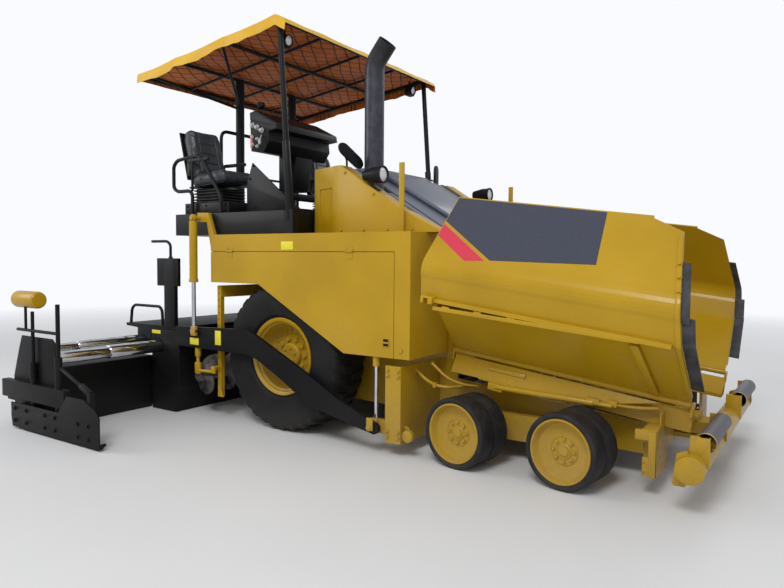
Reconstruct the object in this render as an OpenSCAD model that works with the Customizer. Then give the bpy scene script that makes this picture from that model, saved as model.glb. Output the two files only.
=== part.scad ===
// Wheeled asphalt paver with a hydraulically extended screed.
// Millimetres. X runs forward to the hopper, Y to the left, Z up from the ground.
// Pieces are drawn with X measured from the rear axle, then moved to the middle of the machine.

/* [Body] */
// Half width of the body over its side boxes
side_y = 1235; // [1150:5:1300]
// Height of the top of the side boxes
top_z = 1771; // [1700:1:1850]
// Rear end of the side boxes, behind the rear axle
box_rear_x = -822; // [-900:1:-780]
// Front end of the side boxes
box_front_x = 1415; // [1390:1:1450]
// Thickness of the side doors
door_t = 20; // [12:1:24]
// Height of the door hinges
door_top_z = 1616; // [1580:1:1660]
// Front edge of the side doors
door_front_x = 1270; // [1200:1:1300]

/* [Chassis] */
// Half width over the two main frame plates
frame_y = 620; // [580:1:650]
// Thickness of the main frame plates
frame_t = 24; // [15:1:40]
// Front face of the frame
frame_front_x = 3114; // [3060:1:3160]
// Radius of the tie-down eyes
tie_r = 30; // [20:1:35]

/* [Rear wheels] */
// Outer radius of the rear tyres
rear_r = 675; // [660:1:680]
// Section width of the rear tyres
rear_w = 440; // [420:1:445]
// Distance of the rear wheel's middle from the machine's middle plane
rear_y = 967; // [955:1:970]
// Radius of the rim's bead seat
rim_r = 318; // [300:1:330]

/* [Front wheels] */
// Outer radius of the front wheels
front_r = 266; // [250:1:272]
// Width over the twin tyres of a front wheel
front_w = 336; // [300:1:340]
// Rear kingpin's place
king_rear_x = 1858; // [1840:1:1880]
// Distance between the two kingpins of one bogie
king_pitch = 815; // [800:1:840]
// Distance of the kingpins from the middle plane
king_y = 790; // [780:1:800]
// Steering angle at rest, positive to the left
steer_rest = -9; // [-12:1:0]

/* [Hopper] */
// Slope of the hopper down to the front
hop_tilt = 7.3; // [5:0.1:9]
// Rear end of the hinge line
hop_x = 1560; // [1550:1:1580]
// Height of the rear end of the hinge line
hop_z = 836; // [820:1:860]
// Distance of the wing hinges from the middle plane
hinge_y = 790; // [770:1:800]
// Thickness of the wing plates
wing_t = 14; // [8:1:20]

/* [Screed] */
// Half width of the main screed
screed_y = 1315; // [1290:1:1318]
// Front face of the main screed
screed_front_x = -1290; // [-1310:1:-1270]
// Rear face of the main screed
screed_rear_x = -1723; // [-1740:1:-1700]
// Height of the main screed
screed_h = 820; // [800:1:840]
// Distance from the middle plane to the outside of the end gates, extended
gate_y = 2486; // [2480:1:2500]
// Rear end of the screed's steps
rear_end_x = -2300; // [-2350:1:-2250]

/* [Tow arms] */
// Tow point's place along the machine
tow_x = 1070; // [1050:1:1090]
// Tow point's height at its lowest
tow_z = 215; // [205:1:230]
// Inner face of the tow arms
arm_y = 1245; // [1243:1:1255]
// Thickness of the tow arms
arm_t = 35; // [25:1:40]

/* [Push rollers] */
// Push beam's place along the machine
push_x = 3427; // [3400:1:3450]
// Push beam's height
push_z = 306; // [290:1:320]
// Radius of the push beam
push_r = 82; // [70:1:84]
// Radius of the push rollers
roller_r = 60; // [50:1:62]

/* [Operator's station] */
// Height of the operator's floor
deck_z = 1980; // [1950:1:2000]
// Top of the canopy at the front
canopy_front_z = 3670; // [3600:1:3700]
// Top of the canopy at the rear
canopy_rear_z = 3430; // [3380:1:3480]
// Half width of the canopy
canopy_y = 1260; // [1200:1:1280]

/* [Hidden] */
$fn = 48;
seat_gap = 0.3;
run_gap = 0.05;
clear = 8;
roller_x = push_x + 63;
roller_z = push_z + 146;
front_end_x = roller_x + roller_r;
mid_x = (front_end_x + rear_end_x) / 2;

yellow = [0.80, 0.58, 0.08];
black = [0.07, 0.07, 0.075];
rubber = [0.10, 0.10, 0.10];
grey = [0.25, 0.27, 0.31];
chrome = [0.75, 0.76, 0.78];

// Basic shapes

module block(a, b) {
  translate(a) cube(b - a);
}

// Outline in X and Z, as thick as from y0 to y1
module xz_plate(points, y0, y1) {
  translate([0, y1, 0]) rotate([90, 0, 0]) linear_extrude(height = y1 - y0) polygon(points);
}

// Outline in Y and Z, as thick as from x0 to x1
module yz_plate(points, x0, x1) {
  translate([x0, 0, 0]) rotate([90, 0, 90]) linear_extrude(height = x1 - x0) polygon(points);
}

module rod_x(r, x0, x1, y, z) {
  translate([x0, y, z]) rotate([0, 90, 0]) cylinder(r = r, h = x1 - x0);
}

module rod_y(r, y0, y1, x, z) {
  translate([x, y0, z]) rotate([-90, 0, 0]) cylinder(r = r, h = y1 - y0);
}

module rod_z(r, z0, z1, x, y) {
  translate([x, y, z0]) cylinder(r = r, h = z1 - z0);
}

// Straight tube or bar between two points
module bar(p, q, r) {
  v = q - p;
  translate(p) rotate([0, acos(v[2] / norm(v)), atan2(v[1], v[0])]) cylinder(r = r, h = norm(v));
}

// side is 1 for the left of the machine and -1 for the right
module on_side(side) {
  if (side > 0) children();
  else mirror([0, 1, 0]) children();
}

// An open line of points made into a strip of even thickness on its left
function unit(v) = v / norm(v);
function left_of(v) = [-v[1], v[0]];
function normal_at(p, i) = left_of(unit(p[i + 1] - p[i]));
function corner(p, i, t) = let(
  a = i == 0 ? normal_at(p, 0) : normal_at(p, i - 1),
  b = i == len(p) - 1 ? a : normal_at(p, i),
  m = unit(a + b)) p[i] + m * t / (m * a);
function strip(p, t) = concat(p, [for (i = [len(p) - 1 : -1 : 0]) corner(p, i, t)]);
function arc(c, r, a0, a1, n) = [for (i = [0 : n]) let(a = a0 + (a1 - a0) * i / n) c + r * [cos(a), sin(a)]];

// Body

// Lower edge of the side boxes, from the rear to the front
box_low_z = 782;
box_rear_low_z = 1323;
slope_rear_x = -204;
slope_front_x = 773;
box_outline = [[box_rear_x, box_rear_low_z], [slope_rear_x, box_rear_low_z], [slope_front_x, box_low_z],
  [box_front_x, box_low_z], [box_front_x, top_z], [box_rear_x, top_z]];
wall = 12;
arch_r = rear_r + 40;
// Lift cylinder's place behind the side box
lift_x = -985;
lift_y = arm_y + arm_t + 25;
lift_top_z = 1930;
lift_eye_z = 850;
lift_r = 38;
lift_rod_r = 20;
lift_barrel_bottom_z = 1320;

module side_box(side) {
  color(yellow) on_side(side) {
    difference() {
      xz_plate(box_outline, frame_y + seat_gap, side_y);
      // the door's place
      xz_plate([[box_rear_x - 1, 0], [door_front_x, 0], [door_front_x, door_top_z], [box_rear_x - 1, door_top_z]],
        side_y - door_t, side_y + 1);
      // the space behind the door
      xz_plate([[box_rear_x + wall, 1360], [slope_rear_x, 1360], [slope_front_x, 860], [door_front_x - 40, 860],
        [door_front_x - 40, door_top_z - 40], [box_rear_x + wall, door_top_z - 40]], side_y - 260, side_y);
      // the wheel arch
      rod_y(arch_r, 600, side_y - door_t - wall, 0, rear_r);
      // the tow cylinder's bore
      rod_z(tow_rod_r + run_gap, 700, 1230, tow_x + 5, tow_rod_y);
    }
    // horn that carries the lift cylinder
    xz_plate([[box_rear_x - 0.1, door_top_z + 9], [box_rear_x + 40, door_top_z + 9], [box_rear_x + 40, top_z], [box_rear_x - 40, 1980],
      [lift_x - 30, 1985], [lift_x - 30, 1900], [box_rear_x - 60, 1890]], side_y - 40, side_y - 5);
    rod_y(20, side_y - 20, lift_y + 30, lift_x, lift_top_z);
    for (x = door_hinge_x) {
      rod_x(4, x - 40, x + 40, door_pin_y, door_top_z);
      for (end = [x - 40, x + 32]) {
        rod_x(7, end, end + 8, door_pin_y, door_top_z);
        block([end, side_y - 0.1, door_top_z], [end + 8, side_y + 3, door_top_z + 40]);
      }
    }
  }
}

// Door hinges: places along the machine and the pin's distance from the middle plane
door_hinge_x = [-560, 830];
door_pin_y = side_y + 7.3;

module side_door(side) {
  color(yellow) on_side(side) difference() {
    xz_plate([[box_rear_x, box_rear_low_z], [slope_rear_x, box_rear_low_z], [slope_front_x, box_low_z],
      [door_front_x - 5, box_low_z], [door_front_x - 5, door_top_z - 5], [box_rear_x, door_top_z - 5]],
      side_y - door_t + seat_gap, side_y);
  }
  color(yellow) on_side(side) for (x = door_hinge_x) difference() {
    union() {
      rod_x(7, x - 31, x + 31, door_pin_y, door_top_z);
      block([x - 31, side_y - 0.1, door_top_z - 60], [x + 31, side_y + 3, door_top_z - 3]);
    }
    rod_x(4 + run_gap, x - 41, x + 41, door_pin_y, door_top_z);
  }
}

// Frame

tie_back = 75;
tie_z = 250;

module chassis() {
  color(yellow) {
    for (s = [-1, 1]) on_side(s) {
      difference() {
        xz_plate([[box_rear_x, 300], [frame_front_x, 180], [frame_front_x, 400], [1500, 560], [1500, top_z],
          [box_rear_x, top_z]], frame_y - frame_t, frame_y);
        rod_y(axle_r + run_gap, frame_y - frame_t - 1, frame_y + 1, 0, rear_r);
        // tie-down eye
        rod_y(tie_r, frame_y - frame_t - 1, frame_y + 1, frame_front_x - tie_back, tie_z);
      }
      // tow post
      block([tow_post_x, tow_post_y - 12, 110], [tow_post_x + 145, tow_post_y, 722]);
      block([tow_post_x + 133, frame_y, 110], [tow_post_x + 145, tow_post_y, 722]);
      // bogie pin
      rod_y(60, frame_y - 1, bogie_y0 - seat_gap, king_rear_x + king_pitch / 2, front_r);
      // front bracket
      xz_plate([[frame_front_x - 35, 112], [frame_front_x, 112], [frame_front_x, 443], [frame_front_x - 35, 443]],
        frame_y - 1, 900);
      // rear post that carries the auger
      block([box_rear_x + 20, frame_y - 1, 1180], [box_rear_x + 70, 1165, 1290]);
      block([box_rear_x + 20, 1125, 217], [box_rear_x + 60, 1165, 1290]);
    }
    block([box_rear_x, -frame_y, top_z - 20], [1500, frame_y, top_z]);
    block([1480, -frame_y, 700], [1500, frame_y, top_z]);
    block([frame_front_x - 40, -frame_y, 180], [frame_front_x, frame_y, 400]);
    // fork and pin that carry the push beam
    for (z = [push_z - 46 - clear - 30, push_z + 46 + clear])
      block([frame_front_x - 1, -120, z], [push_pin_x + 50, 120, z + 30]);
    rod_z(push_pin_r, push_z - 60, push_z + 60, push_pin_x, 0);
    // engine bearers
    for (x = [200, 1150]) block([x, -frame_y + 1, engine_z - 40], [x + 60, frame_y - 1, engine_z]);
    // auger gearbox
    difference() {
      block([auger_x - 70, -50, auger_z - 120], [auger_x + 70, 50, auger_z + 120]);
      rod_y(auger_shaft_r + run_gap, -51, 51, auger_x, auger_z);
    }
    block([auger_x + 50, -40, auger_z + 119], [box_rear_x + 1, 40, 900]);
    block([box_rear_x, -frame_y, 800], [box_rear_x + 20, frame_y, 900]);
  }
}

engine_z = 1000;

module engine() {
  color(grey) block([180, -400, engine_z + seat_gap], [1250, 400, 1740]);
}

// Hood

hood_x0 = 132;
hood_top_x = 512;
hood_front_x = 1459;
hood_top_z = 2365;
hood_y = 1000;
hood_t = 20;

lid_y = 690;
function hood_line(gap) = [[hood_x0 + hood_t + gap, hood_top_z], [hood_top_x, hood_top_z],
  [hood_front_x - 40, top_z + hood_t + 20]];

module hood() {
  outline = [[hood_x0, top_z + seat_gap], [hood_x0, hood_top_z], [hood_top_x, hood_top_z],
    [hood_front_x, top_z + seat_gap]];
  color(yellow) difference() {
    union() {
      for (s = [-1, 1]) on_side(s) {
        xz_plate(outline, hood_y - 60, hood_y);
        xz_plate(strip(hood_line(-1), -hood_t), lid_y + 5, hood_y - 59);
      }
      block([hood_x0, -hood_y + 1, top_z + seat_gap], [hood_x0 + hood_t, hood_y - 1, hood_top_z - 40]);
    }
    rod_z(exhaust_r + 6, 2000, 2500, exhaust_x, exhaust_y);
  }
  // hinge pins of the lid
  color(yellow) for (s = [-1, 1]) on_side(s) {
    rod_y(lid_pin_r, lid_y - 60, lid_y + 6, lid_pin_x, lid_pin_z);
  }
}

lid_pin_r = 6;
lid_pin_x = hood_x0 + hood_t + 15;
lid_pin_z = hood_top_z - 10;

module hood_lid() {
  color(grey) difference() {
    xz_plate(strip(hood_line(5), -hood_t), -lid_y, lid_y);
    rod_y(lid_pin_r + run_gap, -lid_y - 1, lid_y + 1, lid_pin_x, lid_pin_z);
  }
}

exhaust_x = 760;
exhaust_y = -800;
exhaust_r = 84;

module exhaust() {
  color(black) difference() {
    rod_z(exhaust_r, top_z + seat_gap, 3440, exhaust_x, exhaust_y);
    rod_z(exhaust_r - 4, 2500, 3441, exhaust_x, exhaust_y);
  }
}

// Operator's station

module operator_deck() {
  color(black) {
    difference() {
      block([-1400, -1180, top_z + seat_gap], [hood_x0 - seat_gap, 1180, deck_z]);
      for (s = [-1, 1]) on_side(s) block([100, 1140, top_z], [220, 1240, deck_z + 1]);
    }
    // rail that the console slides on
    block([-510, -1000, console_rail_z - 60], [-390, 1000, console_rail_z]);
    for (y = [-940, 900]) block([-500, y, deck_z - 1], [-400, y + 40, console_rail_z - 59]);
    for (s = [-1, 1]) on_side(s) {
      xz_plate([[-560, 2290], [-560, 2440], [-486, 2448], [-18, 2082], [-18, deck_z - 1], [-422, deck_z - 1]],
        1010, 1022);
      bar([-1366, 1150, deck_z - 1], [-1366, 1150, 2475], 18);
      bar([-770, 1150, deck_z - 1], [-770, 1150, 2475], 18);
      bar([-1366, 1150, 2475], [-770, 1150, 2475], 18);
    }
  }
}

module seat(side) {
  color(black) on_side(side) {
    block([-1250, 720, deck_z + seat_gap], [-850, 1100, 2230]);
    block([-1300, 700, 2230], [-800, 1120, 2360]);
    translate([-1290, 700, 2330]) rotate([0, -12, 0]) cube([110, 420, 480]);
  }
}

// Console at the right-hand station, which slides to the left-hand one on its rail
console_y0 = -1000;
console_y1 = -120;
console_line = [[-520, 2560], [-540, 2920], [-300, 2770], [-290, 2640], [-360, 2540]];
console_rail_z = 2200;

module console() {
  color(black) {
    xz_plate(console_line, console_y0, console_y1);
    block([-500, (console_y0 + console_y1) / 2 - 90, console_rail_z + seat_gap],
      [-400, (console_y0 + console_y1) / 2 + 90, 2561]);
  }
}

canopy_t = 30;
canopy_x0 = -1880;
canopy_x1 = 40;
rail_r = 20;
post_top_x = 30;
// Height of the canopy's underside
function canopy_under_z(x) = canopy_rear_z - canopy_t
  + (canopy_front_z - canopy_rear_z) * (x - canopy_x0) / (canopy_x1 - canopy_x0);
function rail_z(x) = canopy_under_z(x) - rail_r * 1.01 - seat_gap;

module canopy_frame() {
  color(black) {
    for (s = [-1, 1]) on_side(s) {
      bar([160, 1200, deck_z - 100], [post_top_x, 1200, rail_z(post_top_x)], 26);
      bar([-1294, 410, deck_z + seat_gap], [-1294, 410, rail_z(-1294)], 45);
      bar([post_top_x, 1200, rail_z(post_top_x)], [-1860, 1200, rail_z(-1860)], rail_r);
      block([110, 1150, top_z + seat_gap], [210, 1230, deck_z]);
    }
    for (x = [post_top_x, -640, -1294, -1840]) rod_y(rail_r - 2, -1200, 1200, x, rail_z(x) - 0.5);
  }
}

module canopy_top() {
  color([0.85, 0.55, 0.05])
    xz_plate([[canopy_x0, canopy_rear_z - canopy_t], [canopy_x1, canopy_front_z - canopy_t],
      [canopy_x1, canopy_front_z], [canopy_x0, canopy_rear_z]], -canopy_y, canopy_y);
}

// Hopper

// Places one piece in the hopper's own frame, which slopes down to the front
module hopper_frame() {
  translate([hop_x, 0, hop_z]) rotate([0, hop_tilt, 0]) children();
}

// Cross-section of a wing from its hinge to its top edge, in Y and height above the hinge
wing_bend = [1120, 640];
wing_bend_r = 150;
wing_line = concat([[hinge_y, 12], [1222, 424]], arc(wing_bend, wing_bend_r, -25, 41, 6), [[819, 1215]]);
wing_outline = [[-110, 1300], [1381, 1300], [1381, 1199], [1597, 1125], [1711, 709], [1806, 60], [1798, 60],
  [1798, -60], [22, -60], [22, 60], [10, 60], [0, 400], [-110, 400]];

module wing(side) {
  color(yellow) on_side(side) hopper_frame() {
    intersection() {
      yz_plate(strip(wing_line, wing_t), -200, 2000);
      xz_plate(wing_outline, 0, 1500);
    }
    block([-70, 1221, 408], [1700, 1256, 438]);
    difference() {
      rod_x(22, 20, 1800, hinge_y, 0);
      rod_x(10 + run_gap, 0, 1900, hinge_y, 0);
    }
  }
}

module flap(side) {
  color(rubber) on_side(side) hopper_frame() difference() {
    intersection() {
      yz_plate(strip(wing_line, wing_t - 1), 1600, 2000);
      xz_plate([[1597 + 1, 1125], [1640, 1120], [1770, 709], [1850, 300], [1785, 260], [1711 + 1, 709]], 0, 1500);
    }
  }
}

module hopper_floor() {
  color(yellow) hopper_frame() {
    for (s = [-1, 1]) on_side(s) {
      difference() {
        union() {
          yz_plate([[frame_y + seat_gap, -190], [frame_y + seat_gap, -160], [hinge_y - 40, -40], [hinge_y - 24, -60],
            [hinge_y - 24, -190]], 10, 1820);
        }
        rod_x(24, -1, 1900, hinge_y, 0);
      }
      rod_x(10, 0, 1815, hinge_y, 0);
      for (x = [2, 1803]) block([x, hinge_y - 60, -80], [x + 16, hinge_y + 12, 12]);
    }
  }
}

module conveyors() {
  color(grey) for (s = [-1, 1]) on_side(s) {
    xz_plate([[box_rear_x + 5, 470], [3000, 400], [3000, 440], [box_rear_x + 5, 510]], 40, frame_y - frame_t - 4);
  }
  color(grey) block([box_rear_x + 5, -41, 400], [2990, 41, 440]);
}

// Rear wheels

axle_r = 110;

module rear_axle() {
  color(yellow) {
    rod_y(axle_r, -rear_y + 110, rear_y - 110, 0, rear_r);
  }
}

module rear_tyre(side) {
  w = rear_w / 2;
  color(rubber) on_side(side) translate([0, rear_y, rear_r]) rotate([90, 0, 0])
    rotate_extrude($fn = 72) polygon(concat([[rim_r, -w + 60], [rim_r + 30, -w + 20], [rim_r + 150, -w]],
      [[rear_r - 60, -w + 14], [rear_r, -w + 42], [rear_r, w - 42], [rear_r - 60, w - 14],
      [rim_r + 150, w], [rim_r + 30, w - 20], [rim_r, w - 60]]));
}

module rear_rim(side) {
  w = rear_w / 2;
  color(yellow) on_side(side) translate([0, rear_y, rear_r]) rotate([-90, 0, 0]) rotate_extrude($fn = 72)
    polygon([[axle_r + run_gap, -130], [axle_r + run_gap, 20], [0, 20], [0, 60], [180, 60], [250, 70], [rim_r - 40, w - 30], [rim_r - 2, w - 30],
      [rim_r - 2, -w + 30], [rim_r - 30, -w + 30], [rim_r - 60, 10], [220, 10], [180, -20], [180, -130]]);
}

// Front bogies

bogie_y0 = 695;
bogie_y1 = 775;
yoke_r = 55;
kingpin_r = 25;
function king_x(i) = king_rear_x + i * king_pitch;
knuckle_z0 = front_r - 50;
knuckle_z1 = front_r + 50;

module bogie(side) {
  color(yellow) on_side(side) difference() {
    union() {
      block([king_x(0) - 90, bogie_y0, front_r - 100], [king_x(1) + 90, bogie_y1, front_r + 100]);
      for (i = [0, 1]) {
        rod_z(yoke_r, knuckle_z1 + 2, knuckle_z1 + 50, king_x(i), king_y);
        rod_z(yoke_r, knuckle_z0 - 50, knuckle_z0 - 2, king_x(i), king_y);
        rod_z(kingpin_r, knuckle_z0 - 3, knuckle_z1 + 3, king_x(i), king_y);
      }
    }
    for (i = [0, 1]) difference() {
      rod_z(yoke_r + 12, knuckle_z0 - 2, knuckle_z1 + 2, king_x(i), king_y);
      rod_z(kingpin_r, knuckle_z0 - 3, knuckle_z1 + 3, king_x(i), king_y);
    }
  }
}

module knuckle(side, i) {
  color(yellow) translate([king_x(i), side * king_y, front_r]) rotate([0, 0, steer_rest]) on_side(side) {
    difference() {
      union() {
        rod_z(45, -50 + run_gap, 50 - run_gap, 0, 0);
        rod_y(45, 20, 110, 0, 0);
        rod_y(35, 100, 380, 0, 0);
      }
      rod_z(kingpin_r + run_gap, -60, 60, 0, 0);
    }
  }
}

module front_wheel(side, i) {
  w = front_w / 2;
  translate([king_x(i), side * king_y, front_r]) rotate([0, 0, steer_rest]) on_side(side)
    translate([0, 100 + w, 0]) rotate([-90, 0, 0]) color(rubber) rotate_extrude($fn = 72)
      polygon([[35 + run_gap, -60], [35 + run_gap, 100], [90, 100], [90, 110], [200, 120], [210, w - 6], [232, w - 6], [232, w],
        [front_r - 16, w], [front_r, w - 14], [front_r, 14], [front_r - 14, 4], [240, 4], [240, -4], [front_r - 14, -4],
        [front_r, -14], [front_r, -w + 14], [front_r - 16, -w], [232, -w], [210, -w], [210, 80], [80, 80], [80, -60]]);
}

// Augers

auger_x = -1025;
auger_z = 400;
auger_r = 190;
auger_pipe_r = 50;
auger_shaft_r = 30;

module auger(side) {
  color(grey) on_side(side) difference() {
    union() {
      rod_y(auger_pipe_r, 60, 1225, auger_x, auger_z);
      rod_y(auger_shaft_r, 2, 61, auger_x, auger_z);
      for (y = [110 : 160 : 1200]) rod_y(auger_r, y, y + 14, auger_x, auger_z);
    }
  }
}

// Push rollers

push_pin_x = 3230;
push_pin_r = 30;

module push_beam() {
  color(yellow) {
    difference() {
      union() {
        rod_y(push_r, -1275, 1275, push_x, push_z);
        block([push_pin_x - 60, -110, push_z - 46], [push_x, 110, push_z + 46]);
      }
      rod_z(push_pin_r + run_gap, push_z - 60, push_z + 60, push_pin_x, 0);
    }
    for (s = [-1, 1]) on_side(s) for (y = [390, 1135]) difference() {
      block([push_x - 20, y, push_z], [roller_x + 30, y + 30, roller_z + 40]);
      rod_y(20 + run_gap, y - 1, y + 31, roller_x, roller_z);
    }
  }
}

module push_roller(side) {
  color(grey) on_side(side) {
    rod_y(roller_r, 425, 1130, roller_x, roller_z);
    rod_y(20, 391, 1164, roller_x, roller_z);
  }
}

// Tow points and screed arms

tow_post_x = 1190;
tow_post_y = 1232;
tow_rod_y = 1190;
tow_rod_r = 17;
tow_pin_r = 25;

module tow_block(side) {
  color(yellow) on_side(side) {
    block([tow_x - 45, tow_rod_y - 30, tow_z - 45], [tow_x + 45, arm_y - 5, tow_z + 60]);
    block([tow_x + 40, tow_rod_y - 30, tow_z - 45], [tow_post_x + 125, tow_post_y - 20, tow_z + 60]);
    rod_y(tow_pin_r, arm_y - 6, arm_y + arm_t + 12, tow_x, tow_z);
    rod_z(tow_rod_r, tow_z + 50, 860, tow_x + 5, tow_rod_y);
  }
}

arm_points = [[1110, 262], [760, 400], [440, 565], [-240, 885], [-330, 905], [screed_front_x, 880],
  [screed_front_x, 690], [-300, 680], [-180, 650], [70, 525], [460, 305], [930, 205], [1110, 170]];

module tow_arms() {
  color(black) for (s = [-1, 1]) on_side(s) difference() {
    union() {
      xz_plate(arm_points, arm_y, arm_y + arm_t);
      rod_y(46, arm_y, arm_y + arm_t, tow_x + 40, tow_z);
    }
    rod_y(tow_pin_r + run_gap, arm_y - 1, arm_y + arm_t + 1, tow_x, tow_z);
  }
  color(black) block([screed_front_x - 0.1, -arm_y - arm_t, 690], [screed_front_x + 50, arm_y + arm_t, 740]);
}

// Screed

tube_x = [-1600, -1870];
tube_z = [655, 700];
tube_r = [50, 40];
tube_in_y = 1170;
ext_front_x = -1750;
ext_rear_x = -2150;
ext_h = 540;
ext_in_y = 1200;

module screed_main() {
  color(black) difference() {
    union() {
      xz_plate([[screed_front_x - 60, 0], [screed_rear_x, 0], [screed_rear_x, screed_h],
        [screed_front_x - seat_gap, screed_h], [screed_front_x - seat_gap, 260]], -screed_y, screed_y);
      block([-1960, -screed_y, 610], [screed_rear_x + 1, screed_y, screed_h]);
    }
    for (i = [0, 1]) rod_y(tube_r[i] + run_gap, -screed_y - 1, screed_y + 1, tube_x[i], tube_z[i]);
  }
}

module extension(side) {
  color(black) on_side(side) {
    block([ext_rear_x, ext_in_y, 0], [ext_front_x, gate_y - 12, ext_h]);
    block([rear_end_x, ext_in_y, 220], [ext_rear_x + 1, gate_y - 12, 250]);
    difference() {
      xz_plate([[ext_rear_x, 0], [-700, 47], [-757, 327], [-923, 395], [-1400, 440], [-1450, 800], [-2000, 800],
        [ext_rear_x, 455]], gate_y - 12, gate_y);
    }
  }
}

module guide_tubes(side) {
  color(chrome) on_side(side) for (i = [0, 1])
    rod_y(tube_r[i], tube_in_y, gate_y - 12 - seat_gap, tube_x[i], tube_z[i]);
}

// Screed lift cylinders

module lift_barrel(side) {
  color(yellow) on_side(side) difference() {
    union() {
      rod_z(lift_r, lift_barrel_bottom_z, lift_top_z - 30, lift_x, lift_y);
      rod_y(36, lift_y - 14, lift_y + 14, lift_x, lift_top_z);
    }
    rod_y(20 + run_gap, lift_y - 40, lift_y + 40, lift_x, lift_top_z);
    rod_z(lift_rod_r + run_gap, lift_barrel_bottom_z - 1, lift_top_z - 50, lift_x, lift_y);
  }
}

module lift_rod(side) {
  color(chrome) on_side(side) {
    rod_z(lift_rod_r, lift_eye_z, lift_barrel_bottom_z + 120, lift_x, lift_y);
    rod_y(34, lift_y - 18, lift_y + 18, lift_x, lift_eye_z);
  }
}

module at_middle() {
  translate([-mid_x, 0, 0]) children();
}

at_middle() chassis();
at_middle() engine();
at_middle() side_box(-1);  // side_box_right
at_middle() side_box(1);  // side_box_left
at_middle() side_door(-1);  // side_door_right
at_middle() side_door(1);  // side_door_left
at_middle() hood();
at_middle() hood_lid();
at_middle() exhaust();
at_middle() operator_deck();
at_middle() seat(-1);  // seat_right
at_middle() seat(1);  // seat_left
at_middle() console();
at_middle() canopy_frame();
at_middle() canopy_top();
at_middle() hopper_floor();
at_middle() conveyors();
at_middle() rear_axle();
at_middle() rear_tyre(-1);  // rear_tyre_right
at_middle() rear_tyre(1);  // rear_tyre_left
at_middle() rear_rim(-1);  // rear_rim_right
at_middle() rear_rim(1);  // rear_rim_left
at_middle() bogie(-1);  // bogie_right
at_middle() bogie(1);  // bogie_left
at_middle() knuckle(-1, 0);  // knuckle_right_rear
at_middle() knuckle(-1, 1);  // knuckle_right_front
at_middle() knuckle(1, 0);  // knuckle_left_rear
at_middle() knuckle(1, 1);  // knuckle_left_front
at_middle() front_wheel(-1, 0);  // front_wheel_right_rear
at_middle() front_wheel(-1, 1);  // front_wheel_right_front
at_middle() front_wheel(1, 0);  // front_wheel_left_rear
at_middle() front_wheel(1, 1);  // front_wheel_left_front
at_middle() wing(-1);  // wing_right
at_middle() wing(1);  // wing_left
at_middle() flap(-1);  // flap_right
at_middle() flap(1);  // flap_left
at_middle() auger(-1);  // auger_right
at_middle() auger(1);  // auger_left
at_middle() push_beam();
at_middle() push_roller(-1);  // push_roller_right
at_middle() push_roller(1);  // push_roller_left
at_middle() tow_block(-1);  // tow_block_right
at_middle() tow_block(1);  // tow_block_left
at_middle() tow_arms();
at_middle() screed_main();
at_middle() extension(-1);  // extension_right
at_middle() extension(1);  // extension_left
at_middle() guide_tubes(-1);  // guide_tubes_right
at_middle() guide_tubes(1);  // guide_tubes_left
at_middle() lift_barrel(-1);  // lift_barrel_right
at_middle() lift_barrel(1);  // lift_barrel_left
at_middle() lift_rod(-1);  // lift_rod_right
at_middle() lift_rod(1);  // lift_rod_left
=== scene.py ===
"""A wheeled asphalt paver with its screed extended, dressed for a studio picture."""
import math
import bpy
from mathutils import Matrix, Vector, noise


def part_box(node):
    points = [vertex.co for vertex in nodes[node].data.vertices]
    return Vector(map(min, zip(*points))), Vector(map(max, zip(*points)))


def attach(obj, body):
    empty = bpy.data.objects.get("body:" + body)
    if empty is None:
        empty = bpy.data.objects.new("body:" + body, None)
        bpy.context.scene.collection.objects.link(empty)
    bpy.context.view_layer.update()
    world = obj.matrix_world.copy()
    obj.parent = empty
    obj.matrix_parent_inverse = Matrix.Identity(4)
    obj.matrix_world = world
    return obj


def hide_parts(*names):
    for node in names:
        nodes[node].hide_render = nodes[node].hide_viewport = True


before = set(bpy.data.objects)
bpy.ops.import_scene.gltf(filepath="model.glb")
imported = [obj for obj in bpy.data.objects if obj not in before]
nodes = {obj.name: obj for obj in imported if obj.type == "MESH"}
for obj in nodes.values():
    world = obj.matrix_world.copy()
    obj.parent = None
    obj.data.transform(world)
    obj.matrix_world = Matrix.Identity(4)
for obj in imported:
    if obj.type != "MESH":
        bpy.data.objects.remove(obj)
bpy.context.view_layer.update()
SIDES = {"right": -1, "left": 1}
bpy.ops.object.select_all(action="DESELECT")

# Camera
# It stands low at the machine's right front, where the picture was taken, looking back along the hopper.
CAMERA_PLACE = Vector((3.4991, -5.5216, 1.5662))
CAMERA_TURN = math.radians(33.85)
CAMERA_TILT = math.radians(-3.10)
CAMERA_ROLL = math.radians(0.48)
FOCAL_PIXELS = 665.3
PICTURE_WIDTH = 784
forward = Vector((-math.sin(CAMERA_TURN) * math.cos(CAMERA_TILT),
                  math.cos(CAMERA_TURN) * math.cos(CAMERA_TILT), math.sin(CAMERA_TILT)))
level_right = forward.cross(Vector((0, 0, 1))).normalized()
level_up = level_right.cross(forward)
right = level_right * math.cos(CAMERA_ROLL) + level_up * math.sin(CAMERA_ROLL)
up = level_up * math.cos(CAMERA_ROLL) - level_right * math.sin(CAMERA_ROLL)
bpy.ops.object.camera_add()
camera = bpy.context.object
camera.matrix_world = Matrix.Translation(CAMERA_PLACE) @ Matrix((right, up, -forward)).transposed().to_4x4()
camera.data.sensor_width = 36
camera.data.lens = FOCAL_PIXELS * camera.data.sensor_width / PICTURE_WIDTH
bpy.context.scene.camera = camera

# Studio
# A pale floor and bright surroundings, one large soft lamp from the front right and weaker ones from the left
# and from behind.
bpy.context.scene.view_settings.view_transform = "Standard"
world = bpy.data.worlds.new("studio")
bpy.context.scene.world = world
world.use_nodes = True


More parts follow.
